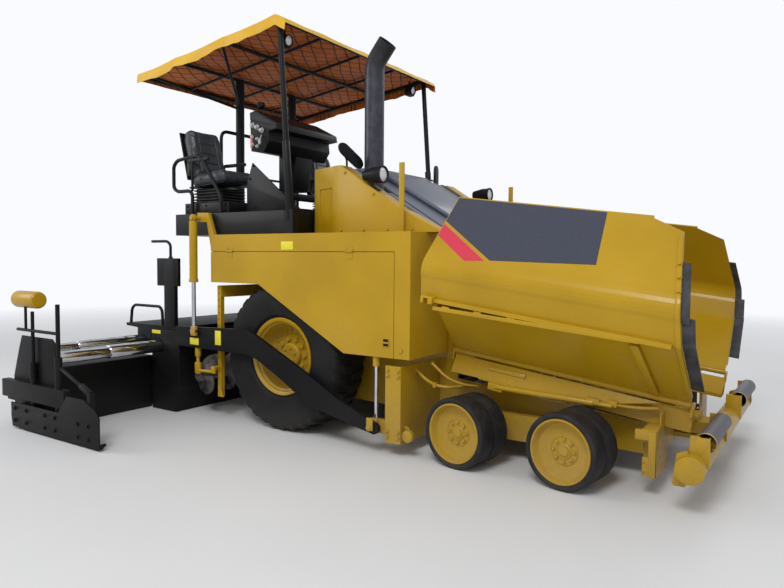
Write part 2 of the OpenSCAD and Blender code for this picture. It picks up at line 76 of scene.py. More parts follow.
class Shade:
    """One output of a shader node, so that a finish is written as plain sums."""

    def __init__(self, tree, socket=None):
        self.tree = tree
        self.socket = socket

    def node(self, kind, settings=(), inputs=(), output=0):
        made = self.tree.nodes.new(kind)
        for name, value in dict(settings).items():
            if name == "stops":
                while len(made.color_ramp.elements) < len(value):
                    made.color_ramp.elements.new(1)
                for element, (place, tone) in zip(made.color_ramp.elements, value):
                    element.position = place
                    element.color = (*tone, 1)
            else:
                setattr(made, name, value)
        for name, value in dict(inputs).items():
            if isinstance(value, Shade):
                self.tree.links.new(value.socket, made.inputs[name])
            else:
                made.inputs[name].default_value = value
        return Shade(self.tree, made.outputs[output])

    def sum(self, operation, a, b=0.0, clamp=False):
        return self.node("ShaderNodeMath", {"operation": operation, "use_clamp": clamp}, {0: a, 1: b})

    def __add__(self, other):
        return self.sum("ADD", self, other)

    def __sub__(self, other):
        return self.sum("SUBTRACT", self, other)

    def __rsub__(self, other):
        return self.sum("SUBTRACT", other, self)

    def __mul__(self, other):
        return self.sum("MULTIPLY", self, other)

    def __truediv__(self, other):
        return self.sum("DIVIDE", self, other)

    def __rtruediv__(self, other):
        return self.sum("DIVIDE", other, self)

    __radd__ = __add__
    __rmul__ = __mul__


def start_finish(name, slot=""):
    """A new material and the place on the object, in metres, that its pattern is worked out from."""
    finish = bpy.data.materials.new(name)
    finish.use_nodes = True
    finish["slot"] = slot
    return finish, Shade(finish.node_tree).node("ShaderNodeTexCoord", output=3)


def cloud(place, scale, detail=3.0, roughness=0.5):
    return place.node("ShaderNodeTexNoise", {}, {"Vector": place, "Scale": scale, "Detail": detail,
                                                 "Roughness": roughness})


def between(value, low, high):
    """0 where the value is below low, 1 where it is above high."""
    return value.node("ShaderNodeMapRange", {}, {"Value": value, "From Min": low, "From Max": high})


def over(cover, below, above):
    """One colour laid over another, as far as cover says."""
    below, above = [tone if isinstance(tone, Shade) else (*tone, 1) for tone in (below, above)]
    return cover.node("ShaderNodeMix", {"data_type": "RGBA"}, {0: cover, 6: below, 7: above}, 2)


def dress(finish, colour, roughness, metallic=0.0, coat=0.0, height=None, relief=0.001, edge=0.0, shine=0.3):
    """Joins a finish's parts to its surface. relief is the bump's height, edge the radius that edges show."""
    tree = finish.node_tree
    surface = tree.nodes["Principled BSDF"]
    for name, value in (("Base Color", colour), ("Roughness", roughness), ("Metallic", metallic),
                        ("Coat Weight", coat)):
        if isinstance(value, Shade):
            tree.links.new(value.socket, surface.inputs[name])
        else:
            surface.inputs[name].default_value = (*value, 1) if name == "Base Color" else value
    surface.inputs["Coat Roughness"].default_value = 0.12
    surface.inputs["Specular IOR Level"].default_value = shine
    normal = Shade(tree).node("ShaderNodeBevel", {"samples": 4}, {"Radius": edge}) if edge else None
    if height is not None:
        facing = {"Normal": normal} if normal else {}
        normal = Shade(tree).node("ShaderNodeBump", {}, {"Height": height, "Distance": relief, **facing})
    if normal:
        tree.links.new(normal.socket, surface.inputs["Normal"])
    return finish


floor_paint, floor_place = start_finish("studio_floor")
dress(floor_paint, over(cloud(floor_place, 0.8, 5), (0.66, 0.66, 0.655), (0.72, 0.72, 0.715)), 0.75)
from_middle = floor_place.node("ShaderNodeVectorMath", {"operation": "LENGTH"}, {0: floor_place}, 1)
floor_paint.node_tree.links.new(between(from_middle, 17.0, 7.5).socket,
                                floor_paint.node_tree.nodes["Principled BSDF"].inputs["Alpha"])
bpy.ops.mesh.primitive_plane_add(size=60, location=(0, 0, 0))
studio_floor = bpy.context.object
studio_floor.name = "studio_floor"
studio_floor.data.materials.append(floor_paint)
sky = Shade(world.node_tree)
seen = [sky.node("ShaderNodeLightPath", output=name) for name in ("Is Camera Ray", "Is Transmission Ray")]
lighting = world.node_tree.nodes["Background"]
lighting.inputs["Color"].default_value = (0.93, 0.95, 1.0, 1)
lighting.inputs["Strength"].default_value = 0.62
backdrop = sky.node("ShaderNodeBackground", {}, {"Color": (0.95, 0.965, 1.0, 1), "Strength": 1.0})
shown = sky.node("ShaderNodeMixShader", {}, {0: seen[0].sum("MAXIMUM", *seen),
                                             1: Shade(world.node_tree, lighting.outputs[0]), 2: backdrop})
world.node_tree.links.new(shown.socket, world.node_tree.nodes["World Output"].inputs["Surface"])


def soft_lamp(name, place, aim, size, power):
    bpy.ops.object.light_add(type="AREA", location=place)
    lamp = bpy.context.object
    lamp.name = name
    lamp.data.shape = "DISK"
    lamp.data.size = size
    lamp.data.energy = power
    lamp.rotation_euler = (Vector(aim) - Vector(place)).to_track_quat("-Z", "Y").to_euler()
    return lamp


soft_lamp("key_lamp", (3.0, -9.0, 9.5), (0, 0, 1.0), 4.0, 640)
soft_lamp("fill_lamp", (-8.0, -6.0, 5.0), (0, 0, 1.0), 5.0, 190)
soft_lamp("back_lamp", (2.0, 9.0, 8.0), (0, 0, 1.0), 5.0, 230)
bpy.ops.object.select_all(action="DESELECT")

# Yellow bodywork
# Welded steel plate: the frame, side boxes with their doors, hopper, hood covers, bogies, axle, brackets and
# mounts. All of it is sprayed with one glossy ochre enamel, which has gathered dust near the ground.
OCHRE = (0.465, 0.276, 0.007)
ROAD_DUST = (0.20, 0.165, 0.115)


def sprayed_steel(name, slot, tone, dirt, gloss, dirty_below, coat=0.12, grime_share=0.40, shine=0.28):
    """Enamel over steel plate, with a faint orange peel, cloudy patches and dirt low down."""
    finish, place = start_finish(name, slot)
    patches = cloud(place, 1.6, 6.0)
    grain = cloud(place, 30.0, 5.0, 0.6)
    height_up = place.node("ShaderNodeSeparateXYZ", {}, {0: place}, 2)
    low_down = 1 - between(height_up, 0.05, dirty_below)
    grime = between(patches * 0.55 + grain * 0.45 + low_down * 0.22, 0.56, 0.82) * grime_share
    pale = tuple(min(1.0, 1.07 * part) for part in tone)
    deep = tuple(0.90 * part for part in tone)
    paint = over(between(patches, 0.35, 0.65), deep, pale)
    specks = between(cloud(place, 260.0, 2.0), 0.70, 0.74) * 0.35
    dress(finish, over(specks, over(grime, paint, dirt), tuple(0.4 * part for part in tone)),
          grime * 0.45 + grain * 0.10 + gloss, coat=coat, height=cloud(place, 520.0, 2.0), relief=0.00012,
          edge=0.0035, shine=shine)
    return finish


def wear(finish, *names):
    """Gives a finish to nodes of the frame."""
    for name in names:
        nodes[name].data.materials.clear()
        nodes[name].data.materials.append(finish)


ochre_enamel = sprayed_steel("ochre_enamel", "yellow_paint", OCHRE, ROAD_DUST, 0.27, 1.1)
wear(ochre_enamel, *nodes)

# Bolts of the bodywork
# Zinc hexagon bolts on washers, painted over with the plates that they hold, in the tow posts, the hood's
# covers, the wheels and the end gates.
REAR_AXLE_X = sum(corner.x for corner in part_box("rear_rim_right")) / 2


def at(x, y, z):
    """A place given in millimetres from the rear axle, the middle plane and the ground."""
    return Vector((REAR_AXLE_X + x / 1000, y / 1000, z / 1000))


def only(*picked):
    bpy.ops.object.select_all(action="DESELECT")
    for piece in picked:
        piece.select_set(True)
    bpy.context.view_layer.objects.active = picked[0]
    return picked[0]


def finished_with(piece, kind, **settings):
    """The piece with one modifier added and applied."""
    only(piece)
    modifier = piece.modifiers.new(kind.lower(), kind)
    for name, value in settings.items():
        setattr(modifier, name, value)
    bpy.ops.object.modifier_apply(modifier=modifier.name)
    return piece


def rounded(piece, width, segments, least_turn):
    """The piece with its edges rounded where two faces turn by more than an angle in degrees."""
    return finished_with(piece, "BEVEL", width=width, segments=segments, limit_method="ANGLE",
                         angle_limit=math.radians(least_turn))


def linked(name, data):
    """A new object in the scene."""
    made = bpy.data.objects.new(name, data)
    bpy.context.scene.collection.objects.link(made)
    return made


def turned_outward(piece):
    """Makes all the faces of a closed form look outward."""
    only(piece)
    bpy.ops.object.mode_set(mode="EDIT")
    bpy.ops.mesh.select_all(action="SELECT")
    bpy.ops.mesh.normals_make_consistent(inside=False)
    bpy.ops.object.mode_set(mode="OBJECT")


def cut(piece, *cutters):
    """The piece with each cutter's form taken out of it."""
    for cutter in cutters:
        bpy.context.view_layer.update()
        finished_with(piece, "BOOLEAN", operation="DIFFERENCE", object=cutter, solver="EXACT")
        bpy.data.objects.remove(cutter)
    return piece


def joined(parts):
    """Several forms made one piece, each with its place in its mesh first."""
    bpy.context.view_layer.update()
    for part in parts:
        part.data.transform(part.matrix_world)
        part.matrix_world = Matrix.Identity(4)
    only(*parts)
    if len(parts) > 1:
        bpy.ops.object.join()
    return bpy.context.object


def settled(piece, name, body, *finishes, smooth=32):
    """A finished piece: named, with its place in its mesh, its finishes on and riding on its body."""
    piece = joined([piece])
    piece.name = name
    piece.data.name = name
    piece.data.materials.clear()
    for finish in finishes:
        piece.data.materials.append(finish)
    bpy.ops.object.shade_smooth_by_angle(angle=math.radians(smooth))
    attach(piece, body)
    bpy.ops.object.select_all(action="DESELECT")
    return piece


def copied(form, matrix):
    """A copy of a form, with its own mesh, in another place."""
    twin = linked(form.name, form.data.copy())
    twin.matrix_world = matrix
    return twin


def grown(corners, along, edge=0.003):
    """A plate: its outline as one face, extruded along a direction, with rounded edges."""
    mesh = bpy.data.meshes.new("plate")
    mesh.from_pydata(corners, [], [tuple(range(len(corners)))])
    piece = linked("plate", mesh)
    only(piece)
    bpy.ops.object.mode_set(mode="EDIT")
    bpy.ops.mesh.select_all(action="SELECT")
    bpy.ops.mesh.extrude_region_move(TRANSFORM_OT_translate={"value": along})
    bpy.ops.mesh.select_all(action="SELECT")
    bpy.ops.mesh.normals_make_consistent(inside=False)
    bpy.ops.object.mode_set(mode="OBJECT")
    if edge:
        rounded(piece, edge, 2, 28)
    return piece


def side_plate(outline, inner, outer, sign=1, edge=0.003):
    """A plate drawn in length and height, from one distance from the middle plane to another."""
    return grown([at(x, sign * inner, z) for x, z in outline], (0, sign * (outer - inner) / 1000, 0), edge)


def cross_plate(outline, rear, front, sign=1, edge=0.003):
    """A plate drawn in width and height, from one place along the machine to another."""
    return grown([at(rear, sign * y, z) for y, z in outline], ((front - rear) / 1000, 0, 0), edge)


def flat_plate(outline, low, high, sign=1, edge=0.003):
    """A plate drawn in length and width, from one height to another."""
    return grown([at(x, sign * y, low) for x, y in outline], (0, 0, (high - low) / 1000), edge)


def block(low, high, sign=1, edge=0.003):
    (x0, y0, z0), (x1, y1, z1) = low, high
    return side_plate([(x0, z0), (x1, z0), (x1, z1), (x0, z1)], y0, y1, sign, edge)


def rod(start, end, radius, edge=0.003, vertices=32):
    """A round bar between two places, with rounded ends."""
    start, end = Vector(start), Vector(end)
    bpy.ops.mesh.primitive_cylinder_add(vertices=vertices, radius=radius / 1000, depth=(end - start).length)
    piece = bpy.context.object
    if edge:
        rounded(piece, edge, 2, 60)
    piece.matrix_world = (Matrix.Translation((start + end) / 2)
                          @ (end - start).to_track_quat("Z", "Y").to_matrix().to_4x4())
    return piece


def tube(points, radius, corner=60, sides=12):
    """A bent tube through places in millimetres, rounded at its corners, with closed ends."""
    line = [Vector(points[0])]
    for before, here, after in zip(points, points[1:], points[2:]):
        before, here, after = Vector(before), Vector(here), Vector(after)
        reach = min(corner, 0.45 * (before - here).length, 0.45 * (after - here).length)
        start, end = here + (before - here).normalized() * reach, here + (after - here).normalized() * reach
        for step in range(7):
            t = step / 6
            line.append(start * (1 - t) ** 2 + here * 2 * t * (1 - t) + end * t * t)
    line.append(Vector(points[-1]))
    curve = bpy.data.curves.new("tube", "CURVE")
    curve.dimensions = "3D"
    spline = curve.splines.new("POLY")
    spline.points.add(len(line) - 1)
    for knot, place in zip(spline.points, line):
        knot.co = (*at(*place), 1)
    curve.bevel_depth = radius / 1000
    curve.bevel_resolution = sides // 4
    curve.use_fill_caps = True
    piece = linked("tube", curve)
    only(piece)
    bpy.ops.object.convert(target="MESH")
    return bpy.context.object


bpy.ops.mesh.primitive_cylinder_add(vertices=16, radius=1.05, depth=0.16, location=(0, 0, 0.08))
washer = bpy.context.object
bpy.ops.mesh.primitive_cylinder_add(vertices=6, radius=0.577 * 1.25, depth=0.62, location=(0, 0, 0.46))
hexagon = finished_with(bpy.context.object, "BEVEL", width=0.06, segments=1)
bolt_form = joined([washer, hexagon])
bolt_form.name = "bolt_form"


def bolts(name, body, finish, places, facing, width):
    """Bolt heads that stand on a surface; width is the head's width in metres."""
    turn = Vector(facing).to_track_quat("Z", "Y").to_matrix().to_4x4()
    heads = [copied(bolt_form, Matrix.Translation(place) @ turn @ Matrix.Scale(width, 4)) for place in places]
    return settled(joined(heads), name, body, finish)


def ring_of(count, radius, start=0.0):
    """Even places round a circle, as pairs."""
    return [(radius * math.cos(start + i * math.tau / count), radius * math.sin(start + i * math.tau / count))
            for i in range(count)]


for side, sign in SIDES.items():
    bolts(f"tow_post_bolts_{side}", "machine", ochre_enamel,
          [at(x, sign * 1232, z) for x in (1212, 1313) for z in (690, 645, 160, 205)], (0, sign, 0), 0.018)

# Doors' latches, locks and blank plates
# A folded steel handle in a plate and a round lock near the front of each door, and plain yellow plates screwed
# on where such machines have their notices.
latch_black, latch_place = start_finish("latch_black")
dress(latch_black, over(cloud(latch_place, 60.0), (0.004, 0.004, 0.004), (0.010, 0.010, 0.010)), 0.5)
bright_yellow, notice_place = start_finish("bright_yellow")
dress(bright_yellow, over(cloud(notice_place, 25.0, 4.0), (0.72, 0.62, 0.030), (0.82, 0.72, 0.050)), 0.42)
for side, sign in SIDES.items():
    body = f"side_door_{side}"
    face = 1235
    handle = [cut(block((1160, face, 862), (1232, face + 4, 940), sign, 0.002),
                  block((1171, face - 1, 872), (1221, face + 6, 930), sign, 0)),
              block((1166, face + 2, 894), (1226, face + 10, 908), sign, 0.003)]
    settled(joined(handle), f"door_handle_{side}", body, ochre_enamel)
    settled(block((1170, face, 871), (1222, face + 1, 931), sign, 0), f"door_latch_{side}", body, latch_black)
    bpy.ops.mesh.primitive_cylinder_add(vertices=32, radius=0.022, depth=0.008)
    lock = finished_with(bpy.context.object, "BEVEL", width=0.002, segments=2)
    lock.matrix_world = (Matrix.Translation(at(1332, sign * 1238, 848))
                         @ Vector((0, sign, 0)).to_track_quat("Z", "Y").to_matrix().to_4x4())
    settled(lock, f"box_lock_{side}", "machine", ochre_enamel)
    for name, (x0, z0), (x1, z1), y, plate_body in (
            ("box", (80, 1630), (218, 1702), 1235, "machine"), ("arm", (-719, 738), (-640, 872), 1280, "screed"),
            ("pivot", (-1075, 716), (-950, 780), 1280, "screed"),
            ("screed", (-1715, 776), (-1580, 812), 1238, "screed")):
        settled(block((x0, y, z0), (x1, y + 1.5, z1), sign, 0.0006), f"blank_plate_{name}_{side}", plate_body,
                bright_yellow)

# Decal on the wings
# Two cut pieces of vinyl film on each wing's upper panel: a dark field and a red stripe beside it. They are
# left plain.
HOPPER_TILT = math.radians(7.3)
WING_BEND = (1120, 640)
WING_BEND_RADIUS = 150
WING_PANEL_TURN = math.radians(41)
WING_TOP = (819, 1215)
DARK_FIELD = [(-104, 619), (-104, 366), (405, 48), (1139, 144), (1069, 619)]
RED_STRIPE = [(-104, 336), (-104, 216), (215, 12), (365, 38)]


def on_wing(along, above, sign, lift):
    """A place on the outside of a wing's upper panel, which starts at its bend; lift is off the panel."""
    foot = [middle + WING_BEND_RADIUS * part for middle, part in
            zip(WING_BEND, (math.cos(WING_PANEL_TURN), math.sin(WING_PANEL_TURN)))]
    slope = Vector((WING_TOP[0] - foot[0], WING_TOP[1] - foot[1])).normalized()
    across = foot[0] + slope.x * above + slope.y * lift
    up_wing = foot[1] + slope.y * above - slope.x * lift
    return at(1560 + along * math.cos(HOPPER_TILT) + up_wing * math.sin(HOPPER_TILT), sign * across,
              836 - along * math.sin(HOPPER_TILT) + up_wing * math.cos(HOPPER_TILT))


def film(name, outline, sign, tone):
    """One piece of vinyl film, cut to an outline on the wing."""
    finish, place = start_finish(name)
    scuffs = between(cloud(place, 55.0, 5.0, 0.7), 0.60, 0.75)
    dress(finish, over(scuffs * 0.25, tone, (0.35, 0.33, 0.30)), scuffs * 0.3 + 0.28, coat=0.1)
    outward = on_wing(0, 0, sign, 1.2) - on_wing(0, 0, sign, 0.4)
    return settled(grown([on_wing(along, above, sign, 0.4) for along, above in outline], outward, 0), name,
                   f"wing_{'left' if sign > 0 else 'right'}", finish)


for side, sign in SIDES.items():
    film(f"dark_field_{side}", DARK_FIELD, sign, (0.050, 0.054, 0.078))
    film(f"red_stripe_{side}", RED_STRIPE, sign, (0.62, 0.040, 0.075))

# Wings' flanges, rails and flaps
# A flange is welded along each wing's front edge, and a rail with tabs and an end bracket along its bend. Two
# flaps of thick rubber are bolted along the front edge to keep the mix in.
WING_HINGE_Y = 790
WING_EDGE = [(1597, 1125), (1711, 709), (1806, 60)]
wing_line = [(WING_HINGE_Y, 12), (1222, 424)]
wing_line += [(WING_BEND[0] + WING_BEND_RADIUS * math.cos(math.radians(turn)),
               WING_BEND[1] + WING_BEND_RADIUS * math.sin(math.radians(turn))) for turn in range(-25, 42, 11)]
wing_line.append(WING_TOP)


def in_hopper(along, y, height):
    """A place in the hopper's own frame, which slopes down to the front."""
    return at(1560 + along * math.cos(HOPPER_TILT) + height * math.sin(HOPPER_TILT), y,
              836 - along * math.sin(HOPPER_TILT) + height * math.cos(HOPPER_TILT))


def edge_at(height):
    """How far forward a wing's front edge is at a height."""
    (x0, z0), (x1, z1) = WING_EDGE[:2] if height > WING_EDGE[1][1] else WING_EDGE[1:]
    return x0 + (x1 - x0) * (height - z0) / (z1 - z0)


def along_wing(low, high, rear, front, out, thick, sign):
    """A strip that follows the wing's outside between two heights; out is its distance off the plate."""
    line = []
    for (y0, z0), (y1, z1) in zip(wing_line, wing_line[1:]):
        for step in range(13):
            y, z = y0 + (y1 - y0) * step / 12, z0 + (z1 - z0) * step / 12
            way = Vector((y1 - y0, z1 - z0)).normalized()
            if low <= z <= high and (not line or z > line[-1][1] + 1):
                line.append((y, z, way.y, -way.x))
    mesh = bpy.data.meshes.new("strip")
    corners = []
    for y, z, out_y, out_z in line:
        for along in (edge_at(z) + rear, edge_at(z) + front):
            for off in (out, out + thick):
                corners.append(in_hopper(along, sign * (y + off * out_y), z + off * out_z))
    faces = []
    for i in range(len(line) - 1):
        a, b = 4 * i, 4 * i + 4
        faces += [(a, b, b + 1, a + 1), (a + 2, a + 3, b + 3, b + 2), (a + 1, b + 1, b + 3, a + 3),
                  (a, a + 2, b + 2, b)]
    end = 4 * (len(line) - 1)
    mesh.from_pydata(corners, [], [*faces, (0, 1, 3, 2), (end, end + 2, end + 3, end + 1)])
    piece = linked("strip", mesh)
    turned_outward(piece)
    return rounded(piece, 0.0025, 2, 40)


def hopper_block(low, high, sign, edge=0.003):
    (x0, y0, z0), (x1, y1, z1) = low, high
    return grown([in_hopper(x, sign * y0, z) for x, z in ((x0, z0), (x1, z0), (x1, z1), (x0, z1))],
                 (0, sign * (y1 - y0) / 1000, 0), edge)


flap_rubber, flap_place = start_finish("flap_rubber", "flap_rubber")
flap_chalk = between(cloud(flap_place, 9.0, 6.0, 0.6), 0.40, 0.72)
dress(flap_rubber, over(flap_chalk, (0.030, 0.029, 0.032), (0.085, 0.080, 0.090)), flap_chalk * 0.15 + 0.55,
      height=cloud(flap_place, 160.0, 4.0), relief=0.0005, edge=0.003)
for side, sign in SIDES.items():
    flange = along_wing(70, 1110, -34, -2, 0.5, 9, sign)
    shelf = grown([in_hopper(x, sign * y, z) for x, y, z in
                   ((20, 1135, 350), (1510, 1197, 402), (1510, 1257, 402), (20, 1257, 350))], (0, 0, 0.030), 0.003)
    tabs = [grown([in_hopper(x + dx, sign * 1238, z + dz) for dx, dz in ((0, 0), (70, 0), (62, 14), (8, 14))],
                  (0, sign * 0.016, 0), 0.001)
            for x, z in ((90, 380), (350, 389), (610, 398), (870, 407), (1130, 416), (1400, 426))]
    bracket = cut(hopper_block((-75, 1196, 395), (25, 1290, 450), sign),
                  hopper_block((-50, 1225, 380), (-12, 1300, 435), sign, 0))
    slope = (1222 - WING_HINGE_Y) / (424 - 12)
    brace = grown([in_hopper(x, sign * (WING_HINGE_Y + (z - 12) * slope + 9), z) for x, z in
                   ((1440, 392), (1496, 394), (1600, 40), (1554, 40))], (0, sign * 0.016, -0.017), 0.003)
    rails = [shelf, *tabs, bracket, brace]
    settled(joined([flange, *rails]), f"wing_rails_{side}", f"wing_{side}", ochre_enamel)
    flaps = [along_wing(575, 955, 1, 52, -11, 11, sign), along_wing(90, 612, 1, 78, -24, 11, sign)]
    flap = settled(joined(flaps), f"wing_flaps_{side}", f"wing_{side}", flap_rubber)
    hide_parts(f"flap_{side}")
    bolts(f"wing_edge_bolts_{side}", f"wing_{side}", ochre_enamel,
          [on_wing(edge_at(738 + 0.755 * above) - 17, above, sign, 9.5) for above in (20, 128, 236)],
          on_wing(0, 300, sign, 10) - on_wing(0, 300, sign, 0), 0.018)

# Hopper's skirts
# A tapering plate hangs outside each wing hinge over the bogies, on gussets, with a rim on it. A cylinder's
# pipes with their clamps and two thin pipes run beside it.
for side, sign in SIDES.items():
    skirt = grown([in_hopper(x, sign * y, z) for x, y, z in
                   ((40, 806, -32), (1620, 806, -32), (1250, 850, -126), (1130, 858, -148), (40, 863, -172))],
                  (0, sign * 0.008, 0.0045), 0.002)
    gussets = [grown([in_hopper(x, sign * y, z) for y, z in ((764, -100), (764, -52), (807, -36), (845, -100))],
                     (0.012, 0, 0), 0.002) for x in (46, 640, 1260)]
    rim = [grown([in_hopper(x, sign * y, z) for x, y, z in
                  ((345, 826, -62), (650, 826, -62), (650, 838, -92), (345, 838, -92))],
                 (0, sign * 0.012, 0.007), 0.003)]
    pipes = [rod(in_hopper(440, sign * 878, -196), in_hopper(1190, sign * 878, -128), 22),
             rod(in_hopper(1150, sign * 878, -132), in_hopper(1320, sign * 878, -117), 15),
             tube([(2700, sign * 850, 572), (2900, sign * 850, 556), (3040, sign * 845, 556),
                   (3150, sign * 820, 566)], 12, 60),
             tube([(2700, sign * 826, 556), (2860, sign * 826, 550), (2960, sign * 820, 552),
                   (3120, sign * 790, 552)], 10, 60),
             hopper_block((380, 852, -226), (500, 892, -170), sign),
             hopper_block((1140, 852, -134), (1230, 892, -96), sign),
             hopper_block((280, 858, -172), (1000, 872, -156), sign),
             hopper_block((1290, 850, -122), (1350, 880, -80), sign)]
    settled(joined([skirt, *gussets, *rim, *pipes]), f"hopper_skirt_{side}", "machine", ochre_enamel)


# Grey hood and its yellow covers
# Sheet steel over the engine in charcoal enamel, with a lid between the sides that is raised in the middle.
# A yellow cover is bolted over each side, cut away at the rear, where it has a sunk panel.
HOOD_COVER_TOP = [(0, 2356), (555, 2356), (1163, 1969), (1563, 1771.6)]
HOOD_LINE = [(152, 2356), (512, 2356), (1419, 1806)]
charcoal_enamel = sprayed_steel("charcoal_enamel", "grey_paint", (0.076, 0.090, 0.124), (0.16, 0.155, 0.145),
                                0.30, 0.4, 0.15, 0.30)
wear(charcoal_enamel, "hood", "hood_lid")


for side, sign in SIDES.items():
    # cover, cut on the slant at its rear
    cover = side_plate([(0, 1772), *HOOD_COVER_TOP], 850, 1000, sign, 0)
    slant = flat_plate([(-50, 800), (-50, 1100), (660, 1100), (512, 1000), (152, 870), (152, 800)], 1700, 2500,
                       sign, 0)
    panel = flat_plate([(236, 909), (436, 981), (435, 963), (235, 891)], 1760, 2170, sign, 0)
    cover = cut(cover, slant, panel)
    cover = rounded(cover, 0.014, 4, 30)
    # marker bar
    bar = block((1190, 1050, 1772), (1238, 1062, 2325), sign, 0.002)
    foot = block((1185, 1025, 1772), (1235, 1075, 1780), sign, 0.002)
    settled(joined([cover, bar, foot]), f"hood_cover_{side}", "machine", ochre_enamel)
    bolts(f"hood_cover_bolts_{side}", "machine", ochre_enamel,
          [at(x, sign * 1000, z)
           for x, z in ((560, 1800), (800, 1800), (1040, 1800), (1280, 1800), (600, 2290), (900, 2095))],
          (0, sign, 0), 0.014)
hood_parts = []
for sign in (-1, 1):
    hood_parts.append(side_plate([(132, 1772), (132, 2365), (512, 2365), (1440, 1812), (1459, 1790), (1459, 1772)],
                                 834, 849.5, sign, 0.002))
    strip = [(x, z) for x, z in HOOD_LINE] + [(x, z - 14) for x, z in HOOD_LINE[::-1]]
    hood_parts.append(side_plate(strip, 696, 835, sign, 0.002))
notch = block((665, 860, 2090), (895, 702, 2400), -1, 0)
hood_parts[1] = cut(hood_parts[1], notch)
hood_parts.append(block((658, -846, 2078), (902, -694, 2090), 1, 0.002))
hood_parts.append(block((652, -846, 2078), (664, -694, 2262), 1, 0.002))
hood_parts.append(block((896, -846, 2078), (908, -694, 2112), 1, 0.002))
hood_parts.append(block((658, -706, 2078), (902, -694, 2118), 1, 0.002))
hood_parts.append(block((132, -836, 1772), (146, 836, 2362), 1, 0.003))
hood_shell = settled(joined(hood_parts), "hood_shell", "machine", charcoal_enamel)
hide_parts("hood")
# raised middle of the lid, narrower towards the front
hump = side_plate([(230, 2362), (262, 2401), (522, 2401), (1300, 1930), (1366, 1842), (512, 2362)], -520, 520, 1, 0)
wedge = [flat_plate([(100, s * 530), (1500, s * 318), (1500, s * 900), (100, s * 900)], 1700, 2500, 1, 0)
         for s in (-1, 1)]
hump = rounded(cut(hump, *wedge), 0.016, 4, 30)
settled(hump, "hood_lid_hump", "hood_lid", charcoal_enamel)

# Engine
# The block of cast iron that the hood hides, painted and oily.
engine_iron, iron_place = start_finish("engine_iron", "engine_iron")
oil = between(cloud(iron_place, 7.0, 6.0), 0.45, 0.70)
wear(dress(engine_iron, over(oil, (0.16, 0.155, 0.15), (0.035, 0.030, 0.026)), oil * -0.25 + 0.62,
           height=cloud(iron_place, 140.0, 4.0), relief=0.0006, edge=0.004), "engine")

# Exhaust
# A tall steel pipe in heat-proof black, with a clamp at its foot. Its mouth leans forward and is sooty inside.
exhaust_black, exhaust_place = start_finish("exhaust_black", "exhaust_paint")
exhaust_height = exhaust_place.node("ShaderNodeSeparateXYZ", {}, {0: exhaust_place}, 2)
soot = between(exhaust_height + cloud(exhaust_place, 9.0, 4.0) * 0.20, 3.18, 3.42)
chalky = between(cloud(exhaust_place, 14.0, 6.0, 0.6), 0.42, 0.68)
wear(dress(exhaust_black,
           over(soot, over(chalky, (0.030, 0.030, 0.042), (0.056, 0.056, 0.074)), (0.012, 0.011, 0.011)),
           soot * 0.30 + 0.34, coat=0.15, height=cloud(exhaust_place, 300.0, 3.0), relief=0.0003, edge=0.002),
     "exhaust")


def skinned(name, rings):
    """A skin over rings of places, each joined to the next."""
    count = len(rings[0])
    mesh = bpy.data.meshes.new(name)
    mesh.from_pydata([place for ring in rings for place in ring], [],
                     [(r * count + i, r * count + (i + 1) % count, (r + 1) * count + (i + 1) % count,
                       (r + 1) * count + i)
                      for r in range(len(rings) - 1) for i in range(count)])
    piece = linked(name, mesh)
    return piece


stack_rings = []
for x, z, lean, radius in ((760, 2091, 0, 84), (760, 2150, 0, 84), (760, 2150, 0, 92), (760, 2176, 0, 92),
                           (760, 2176, 0, 84), (760, 3168, 0, 84), (763, 3196, 9, 84), (770, 3222, 18, 84),
                           (782, 3248, 27, 84), (800, 3272, 36, 84), (893, 3383, 42, 84)):
    lean = math.radians(lean)
    ring = [at(x + radius * math.cos(i * math.tau / 48) * math.cos(lean),
               -800 + radius * math.sin(i * math.tau / 48),
               z - radius * math.cos(i * math.tau / 48) * math.sin(lean)) for i in range(48)]
    stack_rings.append(ring)
stack = finished_with(skinned("stack", stack_rings), "SOLIDIFY", thickness=0.005, offset=-1.0)
settled(stack, "exhaust_stack", "machine", exhaust_black)
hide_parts("exhaust")

# Lamps and mirrors
# Steel lamp cans with ribbed glass in a black ring in front of a bright bowl, and two mirrors of silvered glass
# in black frames. They are screwed to their brackets.
satin_black = sprayed_steel("satin_black", "black_paint", (0.0050, 0.0050, 0.0056), (0.055, 0.050, 0.044), 0.42,
                            0.5, 0.04, 0.16, 0.22)
lamp_glass, glass_place = start_finish("lamp_glass")
across_lens = glass_place.node("ShaderNodeSeparateXYZ", {}, {0: glass_place}, 1)
ribs = (across_lens * 520.0).sum("SINE", across_lens * 520.0) * 0.5 + 0.5
dress(lamp_glass, over(ribs, (0.62, 0.64, 0.66), (0.86, 0.88, 0.90)), 0.08, metallic=0.35, coat=1.0, height=ribs,
      relief=0.0012)
mirror_glass, mirror_place = start_finish("mirror_glass")
dress(mirror_glass, over(between(cloud(mirror_place, 20.0, 4.0), 0.5, 0.8), (0.78, 0.80, 0.82), (0.60, 0.61, 0.60)),
      0.04, metallic=1.0)


def turned(name, outline, steps=48):
    """A closed form turned round its Z axis from an outline of radii and heights, in metres."""
    mesh = bpy.data.meshes.new(name)
    mesh.from_pydata([(radius, 0, height) for radius, height in outline],
                     [(i, i + 1) for i in range(len(outline) - 1)], [])
    piece = linked(name, mesh)
    only(piece)
    bpy.ops.object.mode_set(mode="EDIT")
    bpy.ops.mesh.select_all(action="SELECT")
    bpy.ops.mesh.spin(steps=steps, angle=math.tau, center=(0, 0, 0), axis=(0, 0, 1))
    bpy.ops.mesh.select_all(action="SELECT")
    bpy.ops.mesh.remove_doubles(threshold=0.00001)
    bpy.ops.mesh.normals_make_consistent(inside=False)
    bpy.ops.object.mode_set(mode="OBJECT")
    return piece


